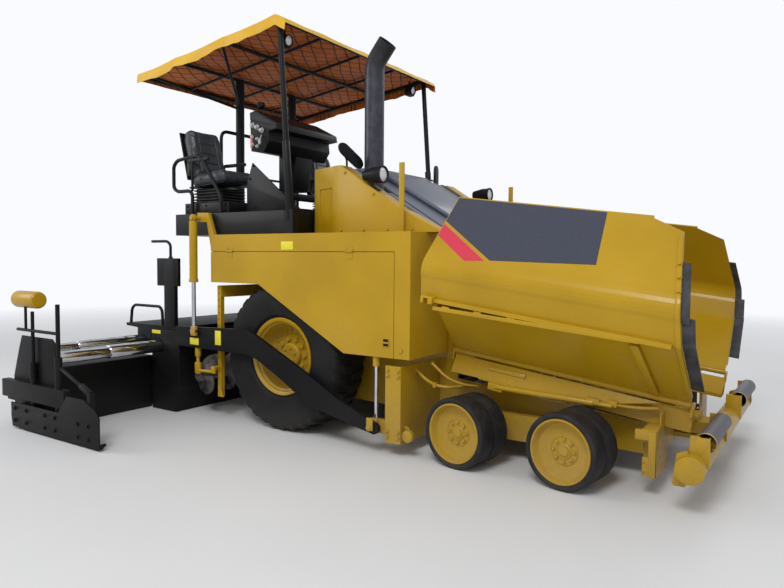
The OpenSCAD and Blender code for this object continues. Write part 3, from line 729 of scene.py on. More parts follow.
def facing(direction, place, roll="Y"):
    """Where a form whose own Z axis is to point in a direction stands."""
    return Matrix.Translation(place) @ Vector(direction).to_track_quat("Z", roll).to_matrix().to_4x4()


lens_form = turned("lens_form", [(0, -0.006), (0.0625, -0.006), (0.0625, 0.0), (0.052, 0.0065), (0.036, 0.0105),
                                 (0.018, 0.0125), (0, 0.013)])
ring_form = turned("ring_form", [(0.0625, -0.004), (0.0725, -0.004), (0.0735, 0.006), (0.070, 0.0115),
                                 (0.0640, 0.0115), (0.0610, 0.006), (0.0625, -0.004)])
for side, sign in SIDES.items():
    for name, place, way in (("head", at(990, sign * 1000, 2250), (1, 0, 0)),
                             ("work", at(-12, sign * 1040, 3487), (1, 0, -0.2))):
        scale = Matrix.Scale(0.72 if name == "work" else 1.0, 4)
        settled(copied(lens_form, facing(way, place) @ scale), f"{name}_lamp_glass_{side}", "machine", lamp_glass)
        settled(copied(ring_form, facing(way, place + Vector(way) * 0.003) @ scale), f"{name}_lamp_ring_{side}",
                "machine", satin_black)
can_form = turned("can_form", [(0, -0.18), (0.044, -0.18), (0.067, -0.075), (0.067, -0.012), (0.0715, -0.010),
                               (0.0715, 0.0), (0.066, 0.002), (0.062, -0.008), (0, -0.008)])
MIRRORS = {"right": ((655, -1005, 2425), 58, (1, 0.8, 1.15)), "left": ((250, 1120, 2490), 0, (1, 1, 1))}
for side, sign in SIDES.items():
    head_can = copied(can_form, facing((1, 0, 0), at(990, sign * 1000, 2250)))
    yoke = side_plate([(830, 2192), (940, 2120), (940, 2132), (885, 2167), (885, 2230), (875, 2230), (875, 2175),
                       (830, 2204)],
                      940, 992, sign, 0.001)
    work_can = block((-100, 980, 3428), (-16, 1100, 3546), sign, 0.022)
    hanger = rod(at(-60, sign * 1040, 3540), at(-60, sign * 1040, 3600), 9)
    arm = (tube([(650, -1010, 2425), (600, -1000, 2425), (560, -925, 2410), (560, -925, 2345)], 9, 30)
           if sign < 0 else
           tube([(262, 1124, 2480), (262, 1120, 2440), (300, 895, 2440), (300, 895, 2350)], 10, 30))
    settled(joined([head_can, yoke, work_can, hanger, arm]), f"lamp_cans_{side}", "machine", satin_black)
    outline = [(y / 1000, z / 1000) for y, z in
               [(70 + 62 * math.cos(a), 62 * math.sin(a)) for a in [math.radians(d) for d in range(-90, 91, 15)]]
               + [(-70 + 62 * math.cos(a), 62 * math.sin(a))
                  for a in [math.radians(d) for d in range(90, 271, 15)]]]
    back = grown([Vector((0, y, z)) for y, z in outline], (0.024, 0, 0), 0.006)
    glass = grown([Vector((-0.001, y * 0.93, z * 0.90)) for y, z in outline], (-0.0015, 0, 0), 0.0005)
    mirror_place, mirror_lean, mirror_size = MIRRORS[side]
    turn = (Matrix.Translation(at(*mirror_place)) @ Matrix.Rotation(math.radians(12 * sign), 4, "Z")
            @ Matrix.Rotation(math.radians(mirror_lean), 4, "X") @ Matrix.Diagonal((*mirror_size, 1)))
    back.matrix_world = turn @ Matrix.Rotation(math.radians(90), 4, "X")
    glass.matrix_world = turn @ Matrix.Rotation(math.radians(90), 4, "X")
    settled(back, f"mirror_back_{side}", "machine", satin_black)
    settled(glass, f"mirror_glass_{side}", "machine", mirror_glass)
bpy.data.objects.remove(can_form)
bpy.data.objects.remove(lens_form)
bpy.data.objects.remove(ring_form)

# Operator deck
# Folded and welded plate with a tread pattern, steps, shields and tube rails, in satin black enamel. Shoes
# have scuffed it to bare metal in places.
deck_black, deck_place = start_finish("deck_black", "black_paint")
deck_patches = cloud(deck_place, 3.0, 6.0)
deck_scuffs = between(cloud(deck_place, 26.0, 6.0, 0.7), 0.62, 0.74)
lozenge = deck_place.node("ShaderNodeVectorMath", {"operation": "MULTIPLY"}, {0: deck_place, 1: (38.0, 38.0, 0.0)})
tread = lozenge.node("ShaderNodeTexVoronoi", {"feature": "DISTANCE_TO_EDGE"},
                     {"Vector": lozenge, "Randomness": 0.0})
upward = deck_place.node("ShaderNodeNewGeometry", {}, {}, 1)
upward = upward.node("ShaderNodeSeparateXYZ", {}, {0: upward}, 2)
on_floor = between(upward, 0.80, 0.95)
dust = between(deck_patches + on_floor * 0.16, 0.50, 0.76) * 0.35
dress(deck_black, over(deck_scuffs * on_floor * 0.5, over(dust, (0.0055, 0.0055, 0.0062), (0.055, 0.050, 0.044)),
                       (0.22, 0.215, 0.21)),
      dust * 0.35 + 0.42, coat=0.03, height=between(tread, 0.10, 0.22) * on_floor, relief=0.0011, edge=0.003,
      shine=0.22)
wear(satin_black, "operator_deck", "canopy_frame", "console")
deck_parts = [block((-1400, -1180, 1772), (131, 1180, 1980), 1, 0.004)]
corner_cuts = [block((98, 1138, 1760), (240, 1260, 1990), sign, 0) for sign in (-1, 1)]
deck_parts[0] = cut(deck_parts[0], *corner_cuts)
rails = []
for sign in (-1, 1):
    # plinth under the seat, footwell shield, toe board and handrail
    deck_parts.append(block((-1330, 560, 1979), (-700, 1120, 2090), sign, 0.006))
    deck_parts.append(side_plate([(-560, 1979), (-560, 2250), (-486, 2448), (-18, 2082), (97, 2010), (97, 1979)],
                                 1010, 1022,
                                 sign, 0.002))
    deck_parts.append(side_plate([(-100, 1979), (90, 1979), (90, 2004), (-100, 1992)], 700, 1011, sign, 0.002))
    rails.append(tube([(-770, sign * 1150, 1975), (-770, sign * 1150, 2130), (-1040, sign * 1150, 2520),
                       (-1120, sign * 1150, 2545), (-1400, sign * 1150, 2520), (-1460, sign * 1150, 2470),
                       (-1460, sign * 1150, 2250), (-1400, sign * 1150, 2210), (-1180, sign * 1150, 2210),
                       (-1180, sign * 1150, 1975)], 18, 70))
    rails.append(rod(at(-1180, sign * 1150, 2205), at(-1180, sign * 1150, 2540), 13))
    deck_parts.append(block((-500, sign * 920 - 20, 1979), (-400, sign * 920 + 20, 2142), 1, 0.003))
deck_parts.append(block((-510, -1000, 2140), (-390, 1000, 2199.5), 1, 0.006))
rails.append(tube([(-1380, -600, 1975), (-1380, -600, 2900), (-1380, 600, 2900), (-1380, 600, 1975)], 18, 90))
rails.append(rod(at(-1380, -600, 2450), at(-1380, 600, 2450), 13))
deck = settled(joined(deck_parts), "deck_plates", "machine", deck_black)
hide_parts("operator_deck")
settled(joined(rails), "deck_rails", "machine", satin_black, smooth=50)
for side, sign in SIDES.items():
    bolts(f"shield_bolts_{side}", "machine", satin_black,
          [at(x, sign * 1022, z) for x, z in ((-520, 2300), (-470, 2420), (-450, 2030), (-60, 2060), (-60, 2100))],
          (0, sign, 0), 0.013)
    bolts(f"plinth_bolts_{side}", "machine", satin_black,
          [at(x, sign * 1120, z) for x in (-1290, -1020, -740) for z in (2010, 2060)], (0, sign, 0), 0.012)

# Console
# A folded steel box on a slide, with a sunk panel of switches towards each driver. It has rubber-capped knobs,
# a lever, a small lamp on top and a maintenance tag of pink-red plastic, without a word on it.
console_box = side_plate([(-520, 2560), (-540, 2920), (-470, 2935), (-200, 2800), (-190, 2740), (-300, 2730),
                          (-290, 2640),
                          (-360, 2540)], -1000, -120, 1, 0)
sunk = side_plate([(-600, 2590), (-523, 2590), (-537, 2890), (-600, 2890)], -970, -620, 1, 0)
groove = [side_plate([(-540, 2842), (-205, 2762), (-205, 2770), (-540, 2852)], y0, y1, 1, 0)
          for y0, y1 in ((-1001, -994), (-126, -119))]
console_box = rounded(cut(console_box, sunk, *groove), 0.004, 2, 30)
console_foot = block((-500, -650, 2200.5), (-400, -470, 2561), 1, 0.006)
console_skirt = side_plate([(-500, 2222), (-400, 2222), (-340, 2550), (-520, 2570)], -570, -330, 1, 0.004)
console = settled(joined([console_box, console_foot, console_skirt]), "console_box", "console", satin_black)
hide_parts("console")
knob_form = turned("knob_form", [(0, 0), (0.015, 0), (0.017, 0.003), (0.015, 0.006), (0.012, 0.007), (0.012, 0.016),
                                 (0.010, 0.020), (0, 0.021)], 24)
knob_plastic, knob_place = start_finish("knob_plastic")
dress(knob_plastic,
      over(between(cloud(knob_place, 90.0, 2.0), 0.4, 0.7), (0.42, 0.43, 0.40), (0.30, 0.31, 0.30)), 0.35,
      height=cloud(knob_place, 500.0), relief=0.0002)
knobs = [copied(knob_form, facing((0, -1, 0), at(x, -1000, z)) @ Matrix.Scale(size, 4))
         for x, z, size in ((-500, 2800, 1.5), (-440, 2775, 1.5), (-380, 2742, 1.5), (-505, 2690, 1.0),
                            (-440, 2668, 1.0), (-500, 2620, 1.0), (-440, 2600, 1.0))]
settled(joined(knobs), "console_knobs", "console", knob_plastic)
bpy.data.objects.remove(knob_form)
lever = rod(at(-385, -999, 2700), at(-360, -1050, 2650), 6)
ball = rod(at(-360, -1050, 2655), at(-352, -1064, 2600), 13, 0.010)
settled(joined([lever, ball]), "console_lever", "console", knob_plastic)
tag_plastic, tag_place = start_finish("tag_plastic")
dress(tag_plastic, over(between(cloud(tag_place, 30.0, 3.0), 0.4, 0.7), (0.62, 0.10, 0.16), (0.75, 0.22, 0.28)),
      0.4)
settled(block((-532, -1003, 2590), (-505, -1000, 2715), 1, 0.001), "console_tag", "console", tag_plastic)
lamp_stem = rod(at(-505, -880, 2925), at(-505, -880, 2985), 8)
lamp_head = turned("lamp_head",
                   [(0, -0.055), (0.022, -0.055), (0.036, -0.030), (0.036, 0), (0.030, 0.003), (0, 0.003)], 28)
lamp_head.matrix_world = facing((-0.95, 0, -0.3), at(-530, -880, 3000))
settled(joined([lamp_stem, lamp_head]), "console_lamp", "console", satin_black)

# Canopy's extra bars
# Three thin tubes run along under the cloth, and braces go from the posts up to the side rails.
purlins = []


def under_cloth(x):
    return 3400 + 240 * (x + 1880) / 1920 - 20.5


for y in (-620, 0, 620):
    purlins.append(rod(at(30, y, under_cloth(30)), at(-1840, y, under_cloth(-1840)), 13))
for sign in (-1, 1):
    purlins.append(rod(at(-1294, sign * 410, 3150), at(-1760, sign * 1190, under_cloth(-1760)), 14))
    purlins.append(rod(at(-1294, sign * 410, 3150), at(-700, sign * 1190, under_cloth(-700)), 14))
    purlins.append(rod(at(160, sign * 1200, 1882), at(104, sign * 1200, 2570), 34))
    purlins.append(block((-1370, 334, 1980.5), (-1218, 486, 1996), sign, 0.004))
settled(joined(purlins), "canopy_purlins", "machine", satin_black)

# Canopy
# One sheet of coated awning cloth, laced over the bars of its frame, with a wavy valance and pointed corners.
# A black net is sewn under it. The cloth hangs a little between the bars.
CANOPY_REAR, CANOPY_RIDGE, CANOPY_TIP = -1880, 40, 153
CANOPY_HALF = 1260
CANOPY_BARS_X = (-1880, -1840, -1294, -640, 30, 153)
CANOPY_BARS_Y = (-1260, -1200, -620, 0, 620, 1200, 1260)
CANOPY_FALL, CANOPY_LIP, CANOPY_VALANCE = 95, 62, 88


def hollow(value, bars):
    """0 on a bar and 1 midway between two bars."""
    for low, high in zip(bars, bars[1:]):
        if low <= value <= high:
            share = (value - low) / (high - low)
            return 4 * share * (1 - share) * min(1.0, (high - low) / 300)
    return 0.0


def canopy_point(along, across):
    """along runs from the rear lip's hem to the front hem, across from one valance's hem to the other's."""
    x = min(max(along, CANOPY_REAR), CANOPY_TIP)
    y = min(max(across, -CANOPY_HALF), CANOPY_HALF)
    rear_drop, front_drop = max(0, CANOPY_REAR - along), max(0, along - CANOPY_TIP)
    side_drop = abs(across) - CANOPY_HALF if abs(across) > CANOPY_HALF else 0
    sign = 1 if y > 0 else -1
    top = 3403 + 240 * (min(x, CANOPY_RIDGE) + 1880) / 1920
    top -= max(0, x - CANOPY_RIDGE) / (CANOPY_TIP - CANOPY_RIDGE) * (CANOPY_FALL - 24)
    wrinkle = noise.noise(Vector((x / 310, y / 240, 0.3))) + 0.5 * noise.noise(Vector((x / 120, y / 95, 1.7)))
    slack = hollow(x, CANOPY_BARS_X) * hollow(y, CANOPY_BARS_Y)
    top += 3 + 5 * (1 - slack) - 21 * slack + 6 * wrinkle * min(1, 3 * slack + 0.15)
    edge_slack = hollow(x, CANOPY_BARS_X)
    wave = math.sin(x / 74.0 + 0.6 * sign) + 0.6 * math.sin(x / 31.0 + sign)
    cross_wave = math.sin(y / 82.0) + 0.5 * math.sin(y / 37.0 + 1)
    share = side_drop / CANOPY_VALANCE
    y += sign * (share * (9 * wave - 9 * edge_slack) + 6 * share)
    end_drop = max(rear_drop, front_drop)
    x += (-1 if rear_drop else 1) * end_drop / CANOPY_LIP * (4 * cross_wave + 2)
    drop = math.hypot(side_drop, end_drop) if side_drop and end_drop else side_drop + end_drop
    scallop = (14 * share - 34 * min(1.0, side_drop + 0.3)) * edge_slack * min(1.0, abs(y) / 1180) ** 6
    scallop += 6 * share * noise.noise(Vector((x / 90, sign, 4)))
    return at(x, y, top - drop + scallop)


awning_cloth, awning_place = start_finish("awning_cloth", "canopy_fabric")
warp = awning_place.node("ShaderNodeTexWave", {"wave_type": "BANDS", "bands_direction": "X"},
                         {"Vector": awning_place, "Scale": 95.0})
weft = awning_place.node("ShaderNodeTexWave", {"wave_type": "BANDS", "bands_direction": "Y"},
                         {"Vector": awning_place, "Scale": 95.0})
sun_bleached = between(cloud(awning_place, 1.7, 5.0), 0.40, 0.66)
stains = between(cloud(awning_place, 5.5, 6.0, 0.65), 0.60, 0.78) * 0.35
dress(awning_cloth, over(stains, over(sun_bleached, (0.66, 0.375, 0.008), (0.74, 0.44, 0.012)), (0.36, 0.19, 0.02)),
      0.48, coat=0.12, height=warp * 0.5 + weft * 0.5 + cloud(awning_place, 22.0, 4.0) * 2.2, relief=0.0009)
# Painted light: the underside's red-orange is the glow of daylight shining through the cloth, laid into its colour.
awning_under, under_place = start_finish("awning_underside_painted_glow", "canopy_fabric")
net_axes = under_place.node("ShaderNodeSeparateXYZ", {}, {0: under_place}, 0)
net_across = under_place.node("ShaderNodeSeparateXYZ", {}, {0: under_place}, 1)
wobble = cloud(under_place, 5.0, 3.0) * 0.05
threads = []
for slanted in ((net_axes + net_across * 0.62) / 0.125, (net_axes - net_across * 0.62) / 0.125):
    phase = (slanted + wobble * 9.0).sum("FRACT", slanted + wobble * 9.0)
    threads.append(between((phase - 0.5).sum("ABSOLUTE", phase - 0.5), 0.425, 0.455))
off_middle = net_across.sum("ABSOLUTE", net_across)
net = (threads[0].sum("MAXIMUM", threads[0], threads[1]) * between(off_middle, 1.262, 1.252)
       * between(net_axes, -2.51, -2.50))
# painted glow: the light through the cloth, brighter in cloudy patches
painted_glow = between(cloud(under_place, 1.3, 4.0), 0.35, 0.70)
dress(awning_under,
      over(net * 0.9, over(painted_glow, (0.46, 0.100, 0.006), (0.62, 0.155, 0.008)), (0.012, 0.008, 0.006)), 0.6,
      height=net, relief=0.0035)
ROWS_X, ROWS_Y = 68, 86
steps_x = [CANOPY_REAR - CANOPY_LIP + i * (CANOPY_TIP + 24 - CANOPY_REAR + CANOPY_LIP) / ROWS_X
           for i in range(ROWS_X + 1)]
steps_y = [(2 * j / ROWS_Y - 1) * (CANOPY_HALF + CANOPY_VALANCE) for j in range(ROWS_Y + 1)]
canopy_mesh = bpy.data.meshes.new("awning")
canopy_mesh.from_pydata([canopy_point(x, y) for x in steps_x for y in steps_y], [],
                        [(i * (ROWS_Y + 1) + j, (i + 1) * (ROWS_Y + 1) + j, (i + 1) * (ROWS_Y + 1) + j + 1,
                          i * (ROWS_Y + 1) + j + 1) for i in range(ROWS_X) for j in range(ROWS_Y)])
awning = linked("awning", canopy_mesh)
finished_with(awning, "SOLIDIFY", thickness=0.003, offset=-1.0)
settled(awning, "awning", "machine", awning_cloth, awning_under, smooth=50)
for number, face in enumerate(awning.data.polygons):
    face.material_index = 1 if ROWS_X * ROWS_Y <= number < 2 * ROWS_X * ROWS_Y else 0
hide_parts("canopy_top")

# Seats
# A sprung driver's seat at each side: a vinyl cushion and back, stuffed with foam and sewn in channels, on a
# moulded base whose suspension is hidden by a rubber bellows, with two arm rests.
seat_vinyl, vinyl_place = start_finish("seat_vinyl", "seat_vinyl")
vinyl_grain = vinyl_place.node("ShaderNodeTexVoronoi", {}, {"Vector": vinyl_place, "Scale": 420.0})
rubbed = between(cloud(vinyl_place, 8.0, 5.0, 0.6), 0.48, 0.72)
dress(seat_vinyl, over(rubbed, (0.036, 0.041, 0.047), (0.070, 0.076, 0.084)), rubbed * 0.18 + 0.38, coat=0.10,
      height=vinyl_grain, relief=0.0005)
bellows_rubber, bellows_place = start_finish("bellows_rubber", "flap_rubber")
bellows_dust = between(cloud(bellows_place, 12.0, 5.0), 0.45, 0.75)
dress(bellows_rubber, over(bellows_dust, (0.020, 0.020, 0.021), (0.075, 0.070, 0.062)), bellows_dust * 0.2 + 0.55,
      height=cloud(bellows_place, 130.0, 3.0), relief=0.0005)


def stuffed(name, size, swell):
    """A block of foam in its sewn cover, which swells; size in metres, flat side down at height 0."""
    bpy.ops.mesh.primitive_cube_add(size=1, location=(0, 0, size[2] / 2))
    pad = bpy.context.object
    pad.name = name
    pad.scale = size
    bpy.ops.object.transform_apply(location=True, rotation=False, scale=True)
    finished_with(pad, "BEVEL", width=min(0.045, 0.42 * size[2]), segments=4)
    finished_with(pad, "REMESH", mode="VOXEL", voxel_size=0.0085)
    start = [point.co.copy() for point in pad.data.vertices]
    cloth = pad.modifiers.new("cover", "CLOTH")
    cloth.settings.quality = 5
    cloth.settings.mass = 0.3
    cloth.settings.use_pressure = True
    cloth.settings.uniform_pressure_force = 4
    cloth.settings.effector_weights.gravity = 0
    cloth.point_cache.frame_start = 1
    cloth.point_cache.frame_end = 20
    for frame_number in range(1, 21):
        bpy.context.scene.frame_set(frame_number)
    only(pad)
    bpy.ops.object.modifier_apply(modifier="cover")
    bpy.context.scene.frame_set(1)
    for point, was in zip(pad.data.vertices, start):
        move = point.co - was
        if move.length > swell:
            point.co = was + move * (swell / move.length)
    for point in pad.data.vertices:
        point.co.z = max(0.0, point.co.z)
    return finished_with(pad, "SUBSURF", levels=1, render_levels=1)


def sewn(pad, channels, depth):
    """Sinks sewn channels into a pad's upper side. A channel is an axis, a place on it and where it ends."""
    for point in pad.data.vertices:
        if point.normal.z > 0.15:
            for axis, place, reach in channels:
                off = (point.co[axis] - place) / 0.007
                if abs(off) < 3 and abs(point.co[1 - axis]) < reach:
                    point.co.z -= depth * math.exp(-off * off)
    for point in pad.data.vertices:
        # the sides stand up as bolsters, and the ends are rounder than a box
        rise = max(0.0, abs(point.co.y) - 0.115) / 0.10
        point.co.z *= 1 + 0.22 * min(1.0, rise) * (1 - (2 * point.co.x / 0.62) ** 2)
        point.co.y *= 1 - 0.16 * max(0.0, abs(point.co.x) - 0.16) / 0.10 if point.co.x < 0 else 1
    return pad


def seat_place(x, y, z, turn):
    """A pad's own frame: its X axis forward or down the back, its Z axis out of the soft side."""
    return Matrix.Translation(at(x, y, z)) @ Matrix.Rotation(math.radians(turn), 4, "Y")


cushion_form = sewn(stuffed("cushion_form", (0.515, 0.425, 0.104), 0.016),
                    [(1, -0.115, 0.235), (1, 0.115, 0.235), (0, 0.06, 0.115), (0, -0.08, 0.115)], 0.008)
back_form = sewn(stuffed("back_form", (0.530, 0.430, 0.112), 0.018),
                 [(1, -0.105, 0.23), (1, 0.105, 0.23), (0, 0.10, 0.105), (0, 0.0, 0.105), (0, -0.10, 0.105)], 0.008)
for side, sign in SIDES.items():
    cushion = copied(cushion_form, seat_place(-1300, sign * 900, 2245, -4) @ Matrix.Translation((0.272, 0, 0.006)))
    settled(cushion, f"seat_cushion_{side}", "machine", seat_vinyl, smooth=60)
    back = copied(back_form, seat_place(-1290, sign * 900, 2300, 76) @ Matrix.Translation((-0.275, 0, 0.008)))
    settled(back, f"seat_back_{side}", "machine", seat_vinyl, smooth=60)
    folds = [(0.0, 0.0), (0.165, 0.0)]
    for i in range(4):
        folds += [(0.165, 0.004 + 0.030 * i), (0.187, 0.012 + 0.030 * i), (0.187, 0.020 + 0.030 * i),
                  (0.165, 0.028 + 0.030 * i)]
    bellows = turned("bellows", [*folds, (0.165, 0.125), (0, 0.125)], 4)
    rounded(bellows, 0.03, 4, 60)
    bellows.matrix_world = (Matrix.Translation(at(-1070, sign * 900, 2110)) @ Matrix.Diagonal((1.42, 1.27, 1, 1))
                            @ Matrix.Rotation(math.radians(45), 4, "Z"))
    settled(bellows, f"seat_bellows_{side}", "machine", bellows_rubber)
    bpy.ops.mesh.primitive_cube_add(size=1, location=at(-1070, sign * 900, 2100.5))
    seat_base = bpy.context.object
    seat_base.scale = (0.40, 0.36, 0.019)
    bpy.ops.object.transform_apply(location=False, rotation=False, scale=True)
    settled(finished_with(seat_base, "BEVEL", width=0.006, segments=3), f"seat_base_{side}", "machine", satin_black)
    bpy.ops.mesh.primitive_cube_add(size=1, location=(0, 0, 0))
    shell = bpy.context.object
    shell.scale = (0.490, 0.430, 0.016)
    bpy.ops.object.transform_apply(location=False, rotation=False, scale=True)
    finished_with(shell, "BEVEL", width=0.007, segments=3)
    pan = copied(shell, seat_place(-1300, sign * 900, 2245, -4) @ Matrix.Translation((0.272, 0, -0.001)))
    rest = copied(shell, seat_place(-1290, sign * 900, 2300, 76) @ Matrix.Translation((-0.272, 0, 0.001)))
    bpy.data.objects.remove(shell)
    bpy.context.view_layer.update()
    settled(joined([pan, rest]), f"seat_shell_{side}", "machine", satin_black)
    arms = []
    for arm_side in (-1, 1):
        bpy.ops.mesh.primitive_cube_add(size=1, location=at(-1105, sign * 900 + arm_side * 238, 2508))
        arm = bpy.context.object
        arm.scale = (0.300, 0.046, 0.034)
        bpy.ops.object.transform_apply(location=False, rotation=False, scale=True)
        arms.append(finished_with(arm, "BEVEL", width=0.014, segments=4))
        bpy.ops.mesh.primitive_cube_add(size=1, location=at(-1262, sign * 900 + arm_side * 226, 2440))
        stay = bpy.context.object
        stay.scale = (0.040, 0.014, 0.160)
        bpy.ops.object.transform_apply(location=False, rotation=False, scale=True)
        arms.append(finished_with(stay, "BEVEL", width=0.004, segments=2))
    bpy.context.view_layer.update()
    settled(joined(arms), f"seat_arm_rests_{side}", "machine", bellows_rubber)
    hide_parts(f"seat_{side}")
bpy.data.objects.remove(cushion_form)
bpy.data.objects.remove(back_form)

# Rear tyres and rims
# Road tyres with a block tread, and rims turned from steel: a dished disc, a ring of wheel nuts and a hub.
# They are bolted to the axle's planet hubs.
REAR_TYRE_Y, REAR_TYRE_Z = 967, 675
road_rubber, rubber_place = start_finish("road_rubber", "tyre_rubber")
rubber_dust = between(cloud(rubber_place, 5.0, 6.0, 0.6) * 0.7 + cloud(rubber_place, 60.0, 3.0) * 0.3, 0.42, 0.70)
rubber_height = rubber_place.node("ShaderNodeSeparateXYZ", {}, {0: rubber_place}, 2)
near_ground = 1 - between(rubber_height + cloud(rubber_place, 8.0, 4.0) * 0.12, 0.10, 0.34)
dress(road_rubber, over(near_ground * 0.45, over(rubber_dust, (0.0060, 0.0060, 0.0064), (0.017, 0.016, 0.016)),
                        (0.055, 0.050, 0.044)),
      rubber_dust * 0.15 + 0.60, height=cloud(rubber_place, 220.0, 3.0), relief=0.0006, edge=0.003, shine=0.25)
tyre_line = [(350, -140), (352, -168), (362, -192), (380, -208), (430, -216), (500, -220), (560, -219), (600, -212),
             (632, -200), (650, -182), (658, -150), (661, -70), (662, 0), (661, 70), (658, 150), (650, 182),
             (632, 200), (600, 212), (560, 219), (500, 220), (430, 216), (380, 208), (362, 192), (352, 168), (350, 140)]
carcass_form = turned("carcass_form",
                      [(radius / 1000, across / 1000) for radius, across in [*tyre_line, tyre_line[0]]], 72)
rim_line = [(0, 66), (28, 74), (96, 74), (108, 60), (112, 26), (186, 24), (192, 16), (250, 14), (266, 30),
            (286, 110), (296, 150), (310, 158), (318, 178), (330, 186), (348, 190), (352, 182), (336, 172),
            (322, 60), (318, -60), (336, -172), (352, -182), (348, -190), (322, -188), (286, -60), (240, -28),
            (190, -50), (190, -140), (112, -140), (112, -10), (0, -10), (0, 66)]
rim_form = turned("rim_form", [(radius / 1000, across / 1000) for radius, across in rim_line], 72)


def tread_lugs(count, half):
    """One shoulder's row of slanted tread blocks round a wheel."""
    corners, faces = [], []
    for i in range(count):
        middle = i * math.tau / count + (0.5 * math.tau / count if half < 0 else 0)
        first = len(corners)
        for across, radius_low, radius_top, start, end in ((8, 650, 673, -0.34, 0.10), (100, 650, 673, -0.22, 0.22),
                                                           (176, 640, 664, -0.12, 0.34),
                                                           (206, 592, 640, -0.06, 0.36)):
            for radius in (radius_low, radius_top):
                for place in (start, end):
                    inset = 0.03 if radius == radius_top else 0.0
                    turn = middle + (place + (inset if place == start else -inset)) * math.tau / count * 1.30
                    corners.append((radius * math.cos(turn) / 1000, radius * math.sin(turn) / 1000,
                                    half * across / 1000))
        for row in range(3):
            a, b = first + 4 * row, first + 4 * row + 4
            faces += [(a + 2, a + 3, b + 3, b + 2), (a, a + 2, b + 2, b), (a + 1, b + 1, b + 3, a + 3),
                      (a, b, b + 1, a + 1)]
        faces += [(first, first + 1, first + 3, first + 2), (first + 12, first + 14, first + 15, first + 13)]
    mesh = bpy.data.meshes.new("tread")
    mesh.from_pydata(corners, [], faces)
    piece = linked("tread", mesh)
    turned_outward(piece)
    return rounded(piece, 0.004, 2, 35)


lug_rows = [tread_lugs(34, half) for half in (-1, 1)]
for side, sign in SIDES.items():
    stand = facing((0, sign, 0), at(0, sign * REAR_TYRE_Y, REAR_TYRE_Z), "X")
    tyre = joined([copied(carcass_form, stand), *[copied(row, stand) for row in lug_rows]])
    settled(tyre, f"road_tyre_{side}", f"rear_wheel_{side}", road_rubber)
    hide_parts(f"rear_tyre_{side}")
    rim = settled(copied(rim_form, stand), f"road_rim_{side}", f"rear_wheel_{side}", ochre_enamel)
    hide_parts(f"rear_rim_{side}")
    bolts(f"wheel_nuts_{side}", f"rear_wheel_{side}", ochre_enamel,
          [at(x, sign * (REAR_TYRE_Y + 25), REAR_TYRE_Z + z) for x, z in ring_of(10, 148)], (0, sign, 0), 0.030)
    bolts(f"rim_bolts_{side}", f"rear_wheel_{side}", ochre_enamel,
          [at(x, sign * (REAR_TYRE_Y + 14.5), REAR_TYRE_Z + z) for x, z in ring_of(20, 222, 0.1)], (0, sign, 0),
          0.017)
    bolts(f"hub_bolts_{side}", f"rear_wheel_{side}", ochre_enamel,
          [at(x, sign * (REAR_TYRE_Y + 74), REAR_TYRE_Z + z) for x, z in ring_of(6, 66, 0.3)], (0, sign, 0), 0.016)
for form in (carcass_form, rim_form, *lug_rows):
    bpy.data.objects.remove(form)

# Front wheels
# Four steered wheels, each a pressed steel disc with a hub ring and eight bolts, between twin tyres of solid
# rubber that are vulcanised to it. They stand on kingpins in the bogies.
FRONT_RADIUS, FRONT_HALF, KING_Y, STEER = 266, 168, 790, -9
solid_rubber, solid_place = start_finish("solid_rubber", "tyre_rubber")
solid_chalk = between(cloud(solid_place, 9.0, 6.0, 0.6), 0.42, 0.72)
solid_low = 1 - between(solid_place.node("ShaderNodeSeparateXYZ", {}, {0: solid_place}, 2)
                        + cloud(solid_place, 12.0, 4.0) * 0.06, 0.06, 0.16)
dress(solid_rubber, over(solid_low * 0.4, over(solid_chalk, (0.014, 0.0135, 0.0145), (0.034, 0.032, 0.034)),
                         (0.060, 0.055, 0.048)),
      solid_chalk * 0.12 + 0.58, height=cloud(solid_place, 180.0, 4.0), relief=0.0006, edge=0.002, shine=0.25)
disc_line = [(35.2, -60), (35.2, 96), (30, 99), (0, 99), (0, 106), (44, 106), (50, 101), (52, 104), (58, 104),
             (60, 99), (94, 99), (96, 103), (102, 103), (105, 98), (150, 102), (188, 112), (200, 128), (207, 160),
             (213, 168), (222, 168), (226, 161), (226, -150), (222, -160), (212, -160), (208, -150), (206, 76),
             (80, 76), (80, -60), (35.2, -60)]
disc_form = turned("disc_form", [(radius / 1000, across / 1000) for radius, across in disc_line], 64)
band_form = None
for low, high in ((5, FRONT_HALF), (-FRONT_HALF, -5)):
    band_line = [(227, low), (FRONT_RADIUS - 18, low + 1), (FRONT_RADIUS - 5, low + 5), (FRONT_RADIUS, low + 16),
                 (FRONT_RADIUS, high - 16), (FRONT_RADIUS - 5, high - 4), (FRONT_RADIUS - 16, high),
                 (238, high - 1),
                 (233, high - 6), (227, high - 6), (227, low)]
    band = turned("band_form", [(radius / 1000, across / 1000) for radius, across in band_line], 64)
    band_form = joined([band_form, band]) if band_form else band
for side, sign in SIDES.items():
    for place, king_x in (("rear", 1858), ("front", 2673)):
        axis = Vector((-math.sin(math.radians(STEER)), math.cos(math.radians(STEER)), 0)) * sign
        middle = at(king_x, sign * KING_Y, FRONT_RADIUS) + axis * 0.268
        stand = facing(axis, middle, "X")
        body = f"front_wheel_{side}_{place}"
        disc = settled(copied(disc_form, stand), f"wheel_disc_{side}_{place}", body, ochre_enamel)
        settled(copied(band_form, stand), f"twin_tyres_{side}_{place}", body, solid_rubber)
        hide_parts(body)
        bolts(f"disc_bolts_{side}_{place}", body, ochre_enamel,
              [stand @ Vector((x / 1000, y / 1000, 0.099)) for x, y in ring_of(8, 77)], axis, 0.017)
bpy.data.objects.remove(disc_form)
bpy.data.objects.remove(band_form)

